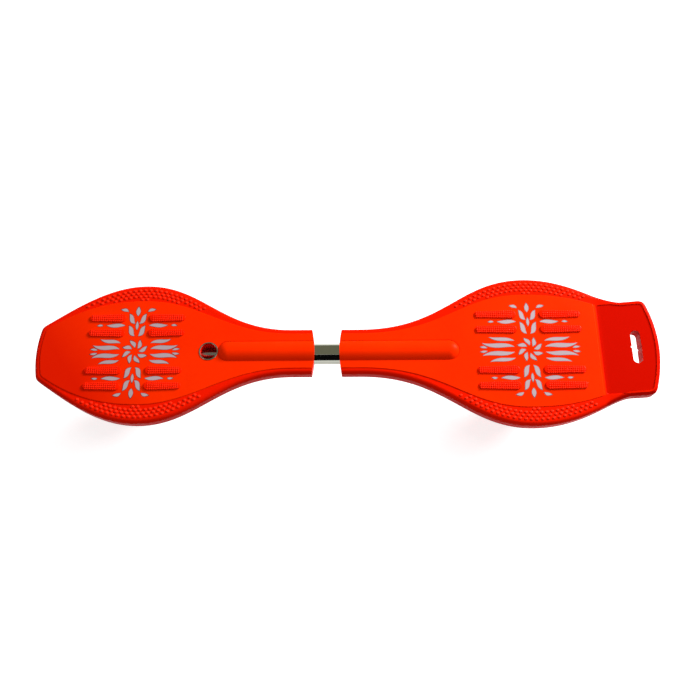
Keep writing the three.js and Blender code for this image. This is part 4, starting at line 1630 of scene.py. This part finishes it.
def rounded_slab(strokes: Iterable[Stroke], low: float, high: float, ease: float, place: Matrix) -> Shape:
    """Builds a slab whose upper and lower edges are rounded.

    Args:
        strokes: Its outline.
        low: Its bottom height.
        high: Its top height.
        ease: The radius of the rounding.
        place: Where it goes.

    Returns:
        The closed solid.
    """
    bm = prism(wire(strokes), low + ease, high - ease)
    for face in [f for f in bm.faces if abs(f.normal.z) > 0.5]:
        rounded_over(bm, face, ease, 3)
    bmesh.ops.transform(bm, matrix=place, verts=bm.verts)
    return bm


def eased_block(low: Sequence[float], high: Sequence[float], ease: float) -> Shape:
    """Builds a box with rounded edges.

    Args:
        low: The lowest corner.
        high: The highest corner.
        ease: The width of the rounding.

    Returns:
        The closed solid.
    """
    bm = block(low, high)
    bmesh.ops.bevel(bm, geom=bm.edges, offset=ease, segments=3, profile=0.5, affect="EDGES", material=-1)
    return bm


def dressed(node: str, shape: Shape, materials: Materials) -> None:
    """Places a fine shape where a CAD node is, on the same body and in the same finish.

    Args:
        node: The node.
        shape: The fine shape, in millimetres.
        materials: The finishes' materials by name.
    """
    slot = SLOT_OF_NODE[node]
    Piece(f"{node}_fine", shape, frame["nodes"][node]["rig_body"], slot, (materials[slot],), (node,),
          weighted=True).place()


@dataclass
class TwistJoint:
    """The tube between the decks, the torsion bar through it and everything that holds them."""

    tube_wall: float = 2.0
    bush_wall: float = 2.3
    bar_gap: float = 0.3
    ring_wall: float = 1.7
    ring_ease: float = 0.6
    screw_radius: float = 2.0
    screw_head_radius: float = 3.6
    screw_head_height: float = 2.6
    bolt_radius: float = 3.0
    bolt_across: float = 9.7
    bolt_head_height: float = 4.0
    block_ease: float = 0.8
    bar_ease: float = 1.2

    def bar_radius(self) -> float:
        """Returns the torsion bar's radius."""
        low, high = node_box("torsion_bar")
        return (high.z - low.z) / 2

    def sleeve_along(self, node: str, wall: float, inner: float = 0.0) -> Shape:
        """Builds the fine sleeve of a node that lies along the tube.

        Args:
            node: The node.
            wall: Its wall, where the inner radius isn't given.
            inner: Its inner radius, or nothing.

        Returns:
            The closed solid.
        """
        low, high = node_box(node)
        outer = (high.z - low.z) / 2
        return sleeve(inner or outer - wall, outer, low.x, high.x, place=ALONG_TUBE)

    def anchor_block(self, end: str) -> Shape:
        """Builds the block that holds one end of the bar, with its bores.

        Args:
            end: The deck that it is in, front or rear.

        Returns:
            The closed solid.
        """
        low, high = node_box(f"{end}_anchor_block")
        cuts = [rod(self.bar_radius() + self.bar_gap, low.x - 2, high.x + 2, PIN_STEPS, ALONG_TUBE)]
        for side in ("left", "right"):
            cuts.append(rod(self.screw_radius + self.bar_gap, low.z - 2, high.z + 2, HOLE_STEPS,
                            upright(f"{end}_anchor_screw_{side}")))
        return combined(eased_block(low, high, self.block_ease), cuts, Join.CUT)

    def anchor_screw(self, node: str) -> Shape:
        """Builds a round-headed screw with a hexagon socket, driven in from below.

        Args:
            node: The screw's node.

        Returns:
            The closed solid.
        """
        low, high = node_box(node)
        place = upright(node)
        head, neck = self.screw_head_radius, low.z + self.screw_head_height
        section = [*eased([(0, low.z), (head, low.z), (head, neck), (self.screw_radius, neck)], 0.9),
                   *thread(self.screw_radius, neck + 1, high.z - 0.5, 1.0, 0.3), (1.4, high.z), (0, high.z)]
        socket = hull(((1.9, low.z - 1, place), (1.9, low.z + 1.5, place)), 6)
        return combined(turned(section, SCREW_STEPS, place), [socket], Join.CUT)

    def tube_bolt(self, node: str) -> Shape:
        """Builds a hexagon bolt that clamps the tube from below.

        Args:
            node: The bolt's node.

        Returns:
            The closed solid.
        """
        low, high = node_box(node)
        place, radius, neck = upright(node), self.bolt_radius, low.z + self.bolt_head_height
        shank = [(0, neck - 1), (radius, neck - 1), *thread(radius, neck + 0.5, high.z - 0.6, 1.0),
                 (radius - 0.6, high.z), (0, high.z)]
        head = hexagon(self.bolt_across, low.z, neck, 0, place)
        return combined(head, [turned(shank, SCREW_STEPS, place)], Join.ADD)

    def build(self, materials: Materials) -> None:
        """Makes and places the twist joint's pieces.

        Args:
            materials: The finishes' materials by name.
        """
        dressed("torsion_tube", self.sleeve_along("torsion_tube", self.tube_wall), materials)
        low, high = node_box("torsion_bar")
        radius = self.bar_radius()
        section = eased([(0, low.x), (radius, low.x), (radius, high.x), (0, high.x)], self.bar_ease)
        dressed("torsion_bar", turned(section, PIN_STEPS, ALONG_TUBE), materials)
        for node in ("tube_plug_front", "tube_plug_rear"):
            dressed(node, self.sleeve_along(node, 0, radius + self.bar_gap), materials)
        for node in ("outer_neck_bush", "inner_neck_bush"):
            dressed(node, self.sleeve_along(node, self.bush_wall), materials)
        ring = sleeve(RING_RADIUS - self.ring_wall, RING_RADIUS, RING_LOW.z, RING_HIGH.z, self.ring_ease,
                      WHEEL_STEPS, Matrix.Translation((ACCESS_X, 0, 0)))
        dressed("access_ring", ring, materials)
        for end in ("front", "rear"):
            dressed(f"{end}_anchor_block", self.anchor_block(end), materials)
            for side in ("left", "right"):
                node = f"{end}_anchor_screw_{side}"
                dressed(node, self.anchor_screw(node), materials)
        for node in ("tube_bolt_1", "tube_bolt_2"):
            dressed(node, self.tube_bolt(node), materials)


@dataclass
class Caster:
    """One inclined swivel caster, from the plate on its boss down to the wheel.

    Heights are measured along the kingpin from the boss, which is why most of them are below zero.
    """

    end: str
    gap: float = 0.3
    plate_half: Point = (29.0, 25.0)
    plate_corner: float = 7.0
    plate_thickness: float = 4.0
    plate_ease: float = 0.6
    screw_place: Point = (21.5, 18.0)
    screw_radius: float = 2.4
    screw_head_radius: float = 4.6
    screw_head_height: float = 2.8
    screw_grip: float = 10.0
    kingpin_radius: float = 5.0
    kingpin_head_radius: float = 8.5
    kingpin_head_height: float = 5.0
    kingpin_nut_across: float = 17.0
    kingpin_nut_height: float = 8.0
    bearing_radius: float = 15.0
    upper_bearing_height: float = 7.0
    lower_bearing_height: float = 5.0
    crown_half_length: float = 18.0
    crown_corner: float = 6.0
    crown_thickness: float = 4.0
    crown_ease: float = 0.7
    leg_inner: float = 15.5
    leg_outer: float = 18.5
    eye_radius: float = 11.0
    pad_radius: float = 8.0
    pad_inner: float = 11.8
    axle_radius: float = 4.0
    axle_across: float = 13.0
    axle_head_height: float = 5.3
    axle_nut_height: float = 7.5
    tail: float = 1.5
    wheel_radius: float = 38.0
    wheel_half: float = 12.0
    tyre_shoulder: float = 6.0
    hub_radius: float = 22.0
    groove_inner: float = 14.0
    groove_outer: float = 19.5
    groove_floor: float = 3.5
    wheel_bearing_radius: float = 11.0
    wheel_bearing_inner: float = 4.3
    wheel_bearing_outer: float = 11.3
    hub_shoulder: float = 3.0
    spacer_wall: float = 2.0

    def __post_init__(self) -> None:
        """Takes the kingpin's and the axle's places from the frame's joints."""
        joints = {joint["name"]: joint for joint in frame["joints"]}
        swivel, spin = joints[f"{self.end}_swivel"], joints[f"{self.end}_wheel_spin"]
        lean = Matrix.Rotation(math.atan2(swivel["axis"][0], swivel["axis"][2]), 4, "Y")
        self.place = Matrix.Translation(Vector(swivel["pos_m"]) / MM) @ lean
        self.axle = Matrix.Translation(Vector(spin["pos_m"]) / MM) @ lean @ ACROSS
        self.plate_bottom = -self.gap - self.plate_thickness
        self.upper_top = self.plate_bottom - self.gap
        self.crown_top = self.upper_top - self.upper_bearing_height - self.gap
        self.crown_bottom = self.crown_top - self.crown_thickness
        self.lower_top = self.crown_bottom - self.gap
        self.nut_top = self.lower_top - self.lower_bearing_height - self.gap

    def screw_places(self) -> list[Matrix]:
        """Finds the four plate screws' places.

        Returns:
            The places, in the order of their nodes.
        """
        places = []
        for number in range(1, 5):
            middle = sum(node_box(f"{self.end}_plate_screw_{number}"), Vector()) / 2
            local = self.place.inverted() @ middle
            x, y = (math.copysign(size, place) for size, place in zip(self.screw_place, local))
            places.append(self.place @ Matrix.Translation((x, y, 0)))
        return places

    def plate(self) -> Shape:
        """Builds the mounting plate with its five holes.

        Returns:
            The closed solid.
        """
        outline = rounded_rectangle(*self.plate_half, self.plate_corner)
        slab = rounded_slab(outline, self.plate_bottom, -self.gap, self.plate_ease, self.place)
        low, high = self.plate_bottom - 1, 1
        hole = self.screw_radius + self.gap
        holes = [rod(hole, low, high, HOLE_STEPS, place) for place in self.screw_places()]
        middle = rod(self.kingpin_radius + self.gap, low, high, PIN_STEPS, self.place)
        return combined(slab, [middle, *holes], Join.CUT)

    def screw(self, place: Matrix) -> Shape:
        """Builds one plate screw, with a cross recess in its head.

        Args:
            place: Where it goes.

        Returns:
            The closed solid.
        """
        seat, radius, head, grip = self.upper_top, self.screw_radius, self.screw_head_radius, self.screw_grip
        low = seat - self.screw_head_height
        section = [*eased([(0, low), (head * 0.5, low), (head, seat - 0.5), (head, seat),
                           (radius, seat)], 0.5),
                   *thread(radius, seat + 1, grip - 1, 1.4), (0.6, grip), (0, grip)]
        wings = [block((-x, -y, low - 1), (x, y, low + 1.3), place) for x, y in ((2.4, 0.5), (0.5, 2.4))]
        return combined(turned(section, SCREW_STEPS, place), wings, Join.CUT)

    def kingpin(self) -> Shape:
        """Builds the kingpin: its round head in the boss, its shank and its thread.

        Returns:
            The closed solid.
        """
        low, top = self.nut_top - self.kingpin_nut_height - self.tail, self.kingpin_head_height
        radius, head = self.kingpin_radius, self.kingpin_head_radius
        section = [(0, low), (radius - 0.8, low), *thread(radius, low + 0.6, self.nut_top),
                   (radius, self.nut_top),
                   *eased([(radius, -1), (radius, 0), (head, 0), (head, top), (0, top)], 0.8)]
        return turned(section, SLEEVE_STEPS, self.place)

    def leg(self, side: int) -> Shape:
        """Builds one fork leg, wrapped round its crown corners and its axle eye.

        Args:
            side: 1 for the left leg, -1 for the right one.

        Returns:
            The closed solid.
        """
        ease, corner, rise = 0.5, 1.2, 0.3
        height = self.crown_bottom + corner + rise
        reach = self.crown_half_length - corner
        spots = [(self.place @ Matrix.Translation((x * reach, 0, height)) @ ACROSS, corner)
                 for x in (-1, 1)]
        inner, outer, part = self.leg_inner, self.leg_outer, ease * 0.3
        layers = ((inner, ease), (inner + part, part), (inner + ease, 0),
                  (outer - ease, 0), (outer - part, part), (outer, ease))
        rings = [(radius - shrink, side * across, spot)
                 for spot, radius in (*spots, (self.axle, self.eye_radius))
                 for across, shrink in layers]
        return hull(rings, PIN_STEPS)

    def fork(self) -> Shape:
        """Builds the fork: crown, two legs and their inner pads, bored for the kingpin and the axle.

        Returns:
            The closed solid.
        """
        crown = rounded_slab(rounded_rectangle(self.crown_half_length, self.leg_outer, self.crown_corner),
                             self.crown_bottom, self.crown_top, self.crown_ease, self.place)
        pad, root, tip = self.pad_radius, self.leg_inner + 1, self.pad_inner
        section = eased([(0, tip), (pad, tip), (pad, self.leg_inner), (pad, root), (0, root)], 0.6)
        others = []
        for side in (-1, 1):
            others.append(self.leg(side))
            others.append(turned([(radius, side * height) for radius, height in section], PIN_STEPS,
                                 self.axle))
        made = combined(crown, others, Join.ADD)
        past = 5.0
        reach = self.leg_outer + past
        return combined(made, [
            rod(self.kingpin_radius + self.gap, self.crown_bottom - past, self.crown_top + past, PIN_STEPS,
                self.place),
            rod(self.axle_radius + self.gap, -reach, reach, PIN_STEPS, self.axle)], Join.CUT)

    def axle_bolt(self) -> Shape:
        """Builds the axle bolt, with its head at the right and its thread at the left.

        Returns:
            The closed solid.
        """
        radius, nut = self.axle_radius, self.leg_outer + self.gap
        end = nut + self.axle_nut_height + self.tail
        shank = [(0, -nut - 1), (radius, -nut - 1), *thread(radius, nut, end - 0.8), (radius - 0.8, end),
                 (0, end)]
        head = hexagon(self.axle_across, -nut - self.axle_head_height, -nut, 0, self.axle)
        return combined(head, [turned(shank, PIN_STEPS, self.axle)], Join.ADD)

    def tyre(self) -> Shape:
        """Builds the tyre, with its full round shoulders.

        Returns:
            The closed solid.
        """
        steps = 28
        section = [(self.hub_radius, -self.wheel_half)]
        for step in range(steps + 1):
            angle = math.pi * (step / steps - 0.5)
            section.append((self.wheel_radius - self.tyre_shoulder * (1 - math.cos(angle)),
                            self.wheel_half * math.sin(angle)))
        section += [(self.hub_radius, self.wheel_half), section[0]]
        return turned(section, WHEEL_STEPS, self.axle)

    def hub(self) -> Shape:
        """Builds the hub: web, grooves on both faces and the bearings' seats.

        Returns:
            The closed solid.
        """
        half, seat = self.wheel_half, self.wheel_bearing_radius + self.gap
        shoulder = self.wheel_bearing_inner - self.gap
        near, far, floor = self.groove_inner, self.groove_outer, self.groove_floor
        upper = [(self.hub_radius - self.gap, half), (far, half), (far, floor), (near, floor), (near, half),
                 (seat, half), (seat, shoulder), (seat - self.hub_shoulder, shoulder)]
        lower = [(radius, -height) for radius, height in reversed(upper)]
        return turned(eased([*upper, *lower, upper[0]], 0.5), WHEEL_STEPS, self.axle)

    def build(self, materials: Materials) -> None:
        """Makes and places the caster's pieces.

        Args:
            materials: The finishes' materials by name.
        """
        def put(node: str, shape: Shape) -> None:
            """Places one piece of this caster."""
            dressed(f"{self.end}_{node}", shape, materials)

        bore = self.kingpin_radius + self.gap
        put("caster_plate", self.plate())
        for number, place in enumerate(self.screw_places(), 1):
            put(f"plate_screw_{number}", self.screw(place))
        put("kingpin", self.kingpin())
        put("kingpin_nut", hexagon(self.kingpin_nut_across, self.nut_top - self.kingpin_nut_height,
                                   self.nut_top, bore, self.place))
        for node, height, top in (("upper_swivel_bearing", self.upper_bearing_height, self.upper_top),
                                  ("lower_swivel_bearing", self.lower_bearing_height, self.lower_top)):
            put(node, bearing(bore, self.bearing_radius, top - height, top, self.place))
        put("fork", self.fork())
        put("axle_bolt", self.axle_bolt())
        inner, nut = self.axle_radius + self.gap, self.leg_outer + self.gap
        put("axle_nut", hexagon(self.axle_across, nut, nut + self.axle_nut_height, inner, self.axle))
        put("tyre", self.tyre())
        put("hub", self.hub())
        for side, node in ((1, "wheel_bearing_left"), (-1, "wheel_bearing_right")):
            low, high = sorted((side * self.wheel_bearing_inner, side * self.wheel_bearing_outer))
            put(node, bearing(inner, self.wheel_bearing_radius, low, high, self.axle))
        reach = self.wheel_bearing_inner - self.gap
        put("bearing_spacer", sleeve(inner, inner + self.spacer_wall, -reach, reach, 0.3, PIN_STEPS,
                                     self.axle))


# Print: a plain ornament of curved leaves
@dataclass(frozen=True)
class Leaf:
    """One curved leaf of the ornament, from its root to its tip.

    The bow is how far it swings to its left near the root, and the sway is the share of it near the tip.
    """

    root: Point
    tip: Point
    bow: float
    width: float
    sway: float = 1.0

    def strokes(self, line: float) -> list[Stroke]:
        """Draws the leaf's two sides.

        Args:
            line: How far they are drawn in.

        Returns:
            Their strokes.
        """
        root, tip = Vector(self.root), Vector(self.tip)
        along = tip - root
        unit = along.normalized()
        across = Vector((-unit.y, unit.x))
        start, end = root + unit * line * 1.4, tip - unit * line * 2.4
        sides = []
        for side in (1, -1):
            spread = side * (self.width - 2 * line) * 0.67
            first = start + along * 0.28 + across * (self.bow + spread)
            second = end - along * 0.34 + across * (self.bow * self.sway + spread)
            sides.append(Stroke(tuple(start), tuple(first), tuple(second), tuple(end), 14))
        return sides

    def turned(self, angle: float) -> "Leaf":
        """Turns the leaf about the ornament's centre.

        Args:
            angle: The angle in radians.

        Returns:
            The turned leaf.
        """
        spin = Matrix.Rotation(angle, 2)
        root, tip = (tuple(spin @ Vector(place)) for place in (self.root, self.tip))
        return replace(self, root=root, tip=tip)

    def flipped(self) -> "Leaf":
        """Mirrors the leaf across the ornament's long axis.

        Returns:
            The mirrored leaf.
        """
        root, tip = ((x, -y) for x, y in (self.root, self.tip))
        return replace(self, root=root, tip=tip, bow=-self.bow)


@dataclass(frozen=True)
class Ornament:
    """A symmetric ornament that keeps clear of the grip bars, pale inside a dark line."""

    centre_x: float
    row: float
    reach: float
    line: float = 0.55
    root_depth: float = 0.1
    dark_rise: float = 0.08
    pale_rise: float = 0.13

    def leaves(self) -> list[Leaf]:
        """Draws every leaf: a wheel in the middle, and leaves along both axes.

        Returns:
            The leaves.
        """
        wheel = Leaf((5.0, 0), (17.5, 8.5), -3.4, 6.4, 0.2)
        made = [wheel.turned(math.tau * k / 8) for k in range(8)]
        far = self.reach
        quarter = [
            Leaf((20.5, 3.6), (far, 9.5), 4.0, 7.4, -1.4),
            Leaf((20, 12.4), (far - 10, 18.4), 3.0, 6.2, -1.2),
            Leaf((far - 9, 2.0), (far + 3, 3.8), 1.0, 4.2, 0.4),
            Leaf((16, self.row + 11.2), (44, self.row + 11.8), 1.6, 6.6, -1.2),
            Leaf((47, self.row + 11.4), (57, self.row + 11.0), 0.6, 4.0),
            Leaf((2.2, 22.5), (12.0, self.row + 12), -4.6, 7.6, -0.5),
            Leaf((2.6, self.row + 13.5), (12.5, self.row + 30), -4.4, 7.2, -0.4),
            Leaf((13.0, self.row + 32), (25.5, self.row + 36), 2.2, 5.4, 0.4),
        ]
        for leaf in quarter:
            for one in (leaf, leaf.flipped()):
                made.extend((one, one.turned(math.pi)))
        for side in (0, math.pi):
            made.append(Leaf((0, self.row + 4), (0, self.row + 19), 0, 5.0).turned(side))
            made.append(Leaf((0, self.row + 25), (0, self.row + 41), 0, 7.0).turned(side))
        return made

    def build(self) -> Shape:
        """Builds the print as one thin layer, in which the pale faces come first.

        Returns:
            The print's solids.
        """
        layers = []
        for leaf in self.leaves():
            for index, line, rise in ((1, 0.0, self.dark_rise), (0, self.line, self.pale_rise)):
                layer = prism(wire(leaf.strokes(line)), TOP_Z - self.root_depth, TOP_Z + rise)
                for face in layer.faces:
                    face.material_index = index
                bmesh.ops.translate(layer, verts=layer.verts, vec=(self.centre_x, 0, 0))
                layers.append(layer)
        return merged(layers)


# Studio
@dataclass(frozen=True)
class Lamp:
    """A square soft light that looks at the board.

    Its place and its sides' length are in metres, and its power in watts.
    """

    name: str
    place: Size
    size: float
    power: float
    shows: bool = True
    aim: Size = (0.0, 0.0, 0.1)

    def hang(self) -> None:
        """Hangs the light in its place. Reflections meet it only where it shows."""
        data = bpy.data.lights.new(self.name, "AREA")
        data.size, data.energy = self.size, self.power
        item = bpy.data.objects.new(self.name, data)
        bpy.context.scene.collection.objects.link(item)
        item.location, item.visible_glossy = self.place, self.shows
        item.rotation_mode = "QUATERNION"
        item.rotation_quaternion = (Vector(self.aim) - Vector(self.place)).to_track_quat("-Z", "Y")


@dataclass(frozen=True)
class Sheet:
    """A flat square sheet of the studio, matt, with its own glow.

    Its place and half its sides' length are in metres. It lies level before it is turned about X.
    """

    name: str
    half: float
    place: Size = (0.0, 0.0, 0.0)
    turn: float = 0.0
    albedo: float = 0.0
    glow: Size = (0.0, 0.0, 0.0)

    def material(self) -> bpy.types.Material:
        """Makes the sheet's matt material.

        Returns:
            The material.
        """
        made = bpy.data.materials.new(self.name)
        made.use_nodes = True
        set_inputs(made.node_tree.nodes["Principled BSDF"], {
            "Base Color": (self.albedo, self.albedo, self.albedo, 1), "Roughness": 0.9,
            "Specular IOR Level": 0, "Emission Color": (*self.glow, 1), "Emission Strength": 1})
        return made

    def hang(self, material: bpy.types.Material) -> bpy.types.Object:
        """Hangs the sheet in its place.

        Args:
            material: The sheet's material.

        Returns:
            The sheet's object.
        """
        bm = bmesh.new()
        bmesh.ops.create_grid(bm, x_segments=1, y_segments=1, size=self.half,
                              matrix=Matrix.Translation(self.place) @ Matrix.Rotation(self.turn, 4, "X"))
        mesh = bpy.data.meshes.new(self.name)
        bm.to_mesh(mesh)
        bm.free()
        mesh.materials.append(material)
        item = bpy.data.objects.new(self.name, mesh)
        bpy.context.scene.collection.objects.link(item)
        return item


@dataclass(frozen=True)
class Studio:
    """The floor, the lights and the camera, in metres."""

    elevation: float = math.radians(70)
    roll: float = math.radians(-0.35)
    distance: float = 1.05
    target: Vector = Vector((0.0063, 0.0, 0.1192))
    lens: float = 39.08
    sensor: float = 36.0
    floor_glow: float = 0.75
    world_light: float = 0.24
    ground: Sheet = Sheet("floor", 6.0, albedo=0.7, glow=(1.0, 1.0, 1.0))
    cards: tuple[Sheet, ...] = (
        Sheet("flag", 1.2, (0.0, -1.2, 1.25), math.pi / 2, albedo=0.004),
        Sheet("card", 3.84, (0.0, 1.27, 2.15), math.radians(-32), glow=(0.28, 0.275, 0.195)))
    lamps: tuple[Lamp, ...] = (
        Lamp("key", (1.7, 1.35, 0.95), 0.6, 108), Lamp("top", (0.3, 0.5, 1.9), 1.4, 13.5, shows=False))

    def camera(self) -> None:
        """Puts the camera where the photographer stood."""
        data = bpy.data.cameras.new("camera")
        data.lens, data.sensor_width = self.lens, self.sensor
        item = bpy.data.objects.new("camera", data)
        bpy.context.scene.collection.objects.link(item)
        back = Vector((0, -math.cos(self.elevation), math.sin(self.elevation)))
        item.location = self.target + self.distance * back
        item.rotation_mode = "QUATERNION"
        turn = Matrix.Rotation(self.roll, 3, back)
        item.rotation_quaternion = (turn @ (-back).to_track_quat("-Z", "Y").to_matrix()).to_quaternion()
        bpy.context.scene.camera = item

    def seen(self, graph: Graph) -> Socket:
        """Builds the mask of the rays that see the background: camera, glossy and transmission rays.

        Args:
            graph: The graph of the floor's material or the world.

        Returns:
            1 or more for these rays.
        """
        path = graph.node("ShaderNodeLightPath")
        both = graph.math("ADD", path.outputs["Is Camera Ray"], path.outputs["Is Glossy Ray"])
        return graph.math("ADD", both, path.outputs["Is Transmission Ray"])

    def floor(self) -> None:
        """Lays the floor, which shows white from above, keeps the object's shadow and is clear from below."""
        material = self.ground.material()
        nodes = material.node_tree.nodes
        graph, shader = Graph(material.node_tree), nodes["Principled BSDF"]
        glow = graph.ranged(self.seen(graph), 0, 1, 0, self.floor_glow)
        graph.link(glow, shader.inputs["Emission Strength"])
        clear, mix = graph.node("ShaderNodeBsdfTransparent"), graph.node("ShaderNodeMixShader")
        graph.link(graph.node("ShaderNodeNewGeometry").outputs["Backfacing"], mix.inputs[0])
        graph.link(shader.outputs["BSDF"], mix.inputs[1])
        graph.link(clear.outputs["BSDF"], mix.inputs[2])
        graph.link(mix.outputs["Shader"], nodes["Material Output"].inputs["Surface"])
        self.ground.hang(material)

    def world(self) -> None:
        """Lights everything softly, and shows white to the rays that see the background."""
        world = bpy.data.worlds.new("studio")
        bpy.context.scene.world = world
        world.use_nodes = True
        graph = Graph(world.node_tree)
        background = world.node_tree.nodes["Background"]
        set_inputs(background, {"Color": WHITE})
        graph.link(graph.ranged(self.seen(graph), 0, 1, self.world_light, 1), background.inputs["Strength"])

    def build(self) -> None:
        """Sets the whole studio up. Only reflections meet the black flag and the grey card."""
        bpy.context.scene.view_settings.view_transform = "Standard"
        self.camera()
        self.floor()
        for card in self.cards:
            item = card.hang(card.material())
            item.visible_camera = item.visible_diffuse = item.visible_shadow = False
        self.world()
        for lamp in self.lamps:
            lamp.hang()


def dress_cad(materials: Materials) -> None:
    """Gives every CAD node that still shows the finish of its slot.

    Args:
        materials: The finishes' materials by name.
    """
    for name, item in frame["nodes"].items():
        if item.hide_render:
            continue
        item.data.materials.clear()
        item.data.materials.append(materials[SLOT_OF_NODE[name]])
        LOG.info("%s keeps its CAD shape in %s", name, SLOT_OF_NODE[name])


def main() -> None:
    """Builds and dresses the whole board, then its studio."""
    logging.basicConfig(level=logging.INFO, format="%(name)s: %(message)s")
    effects = Effects()
    materials = {finish.name: finish.material(effects) for finish in FINISHES}
    for assembly in (FrontDeck(), RearDeck(), TwistJoint(), Caster("front"), Caster("rear")):
        assembly.build(materials)
    dress_cad(materials)
    Studio().build()


if __name__ == "__main__":
    main()
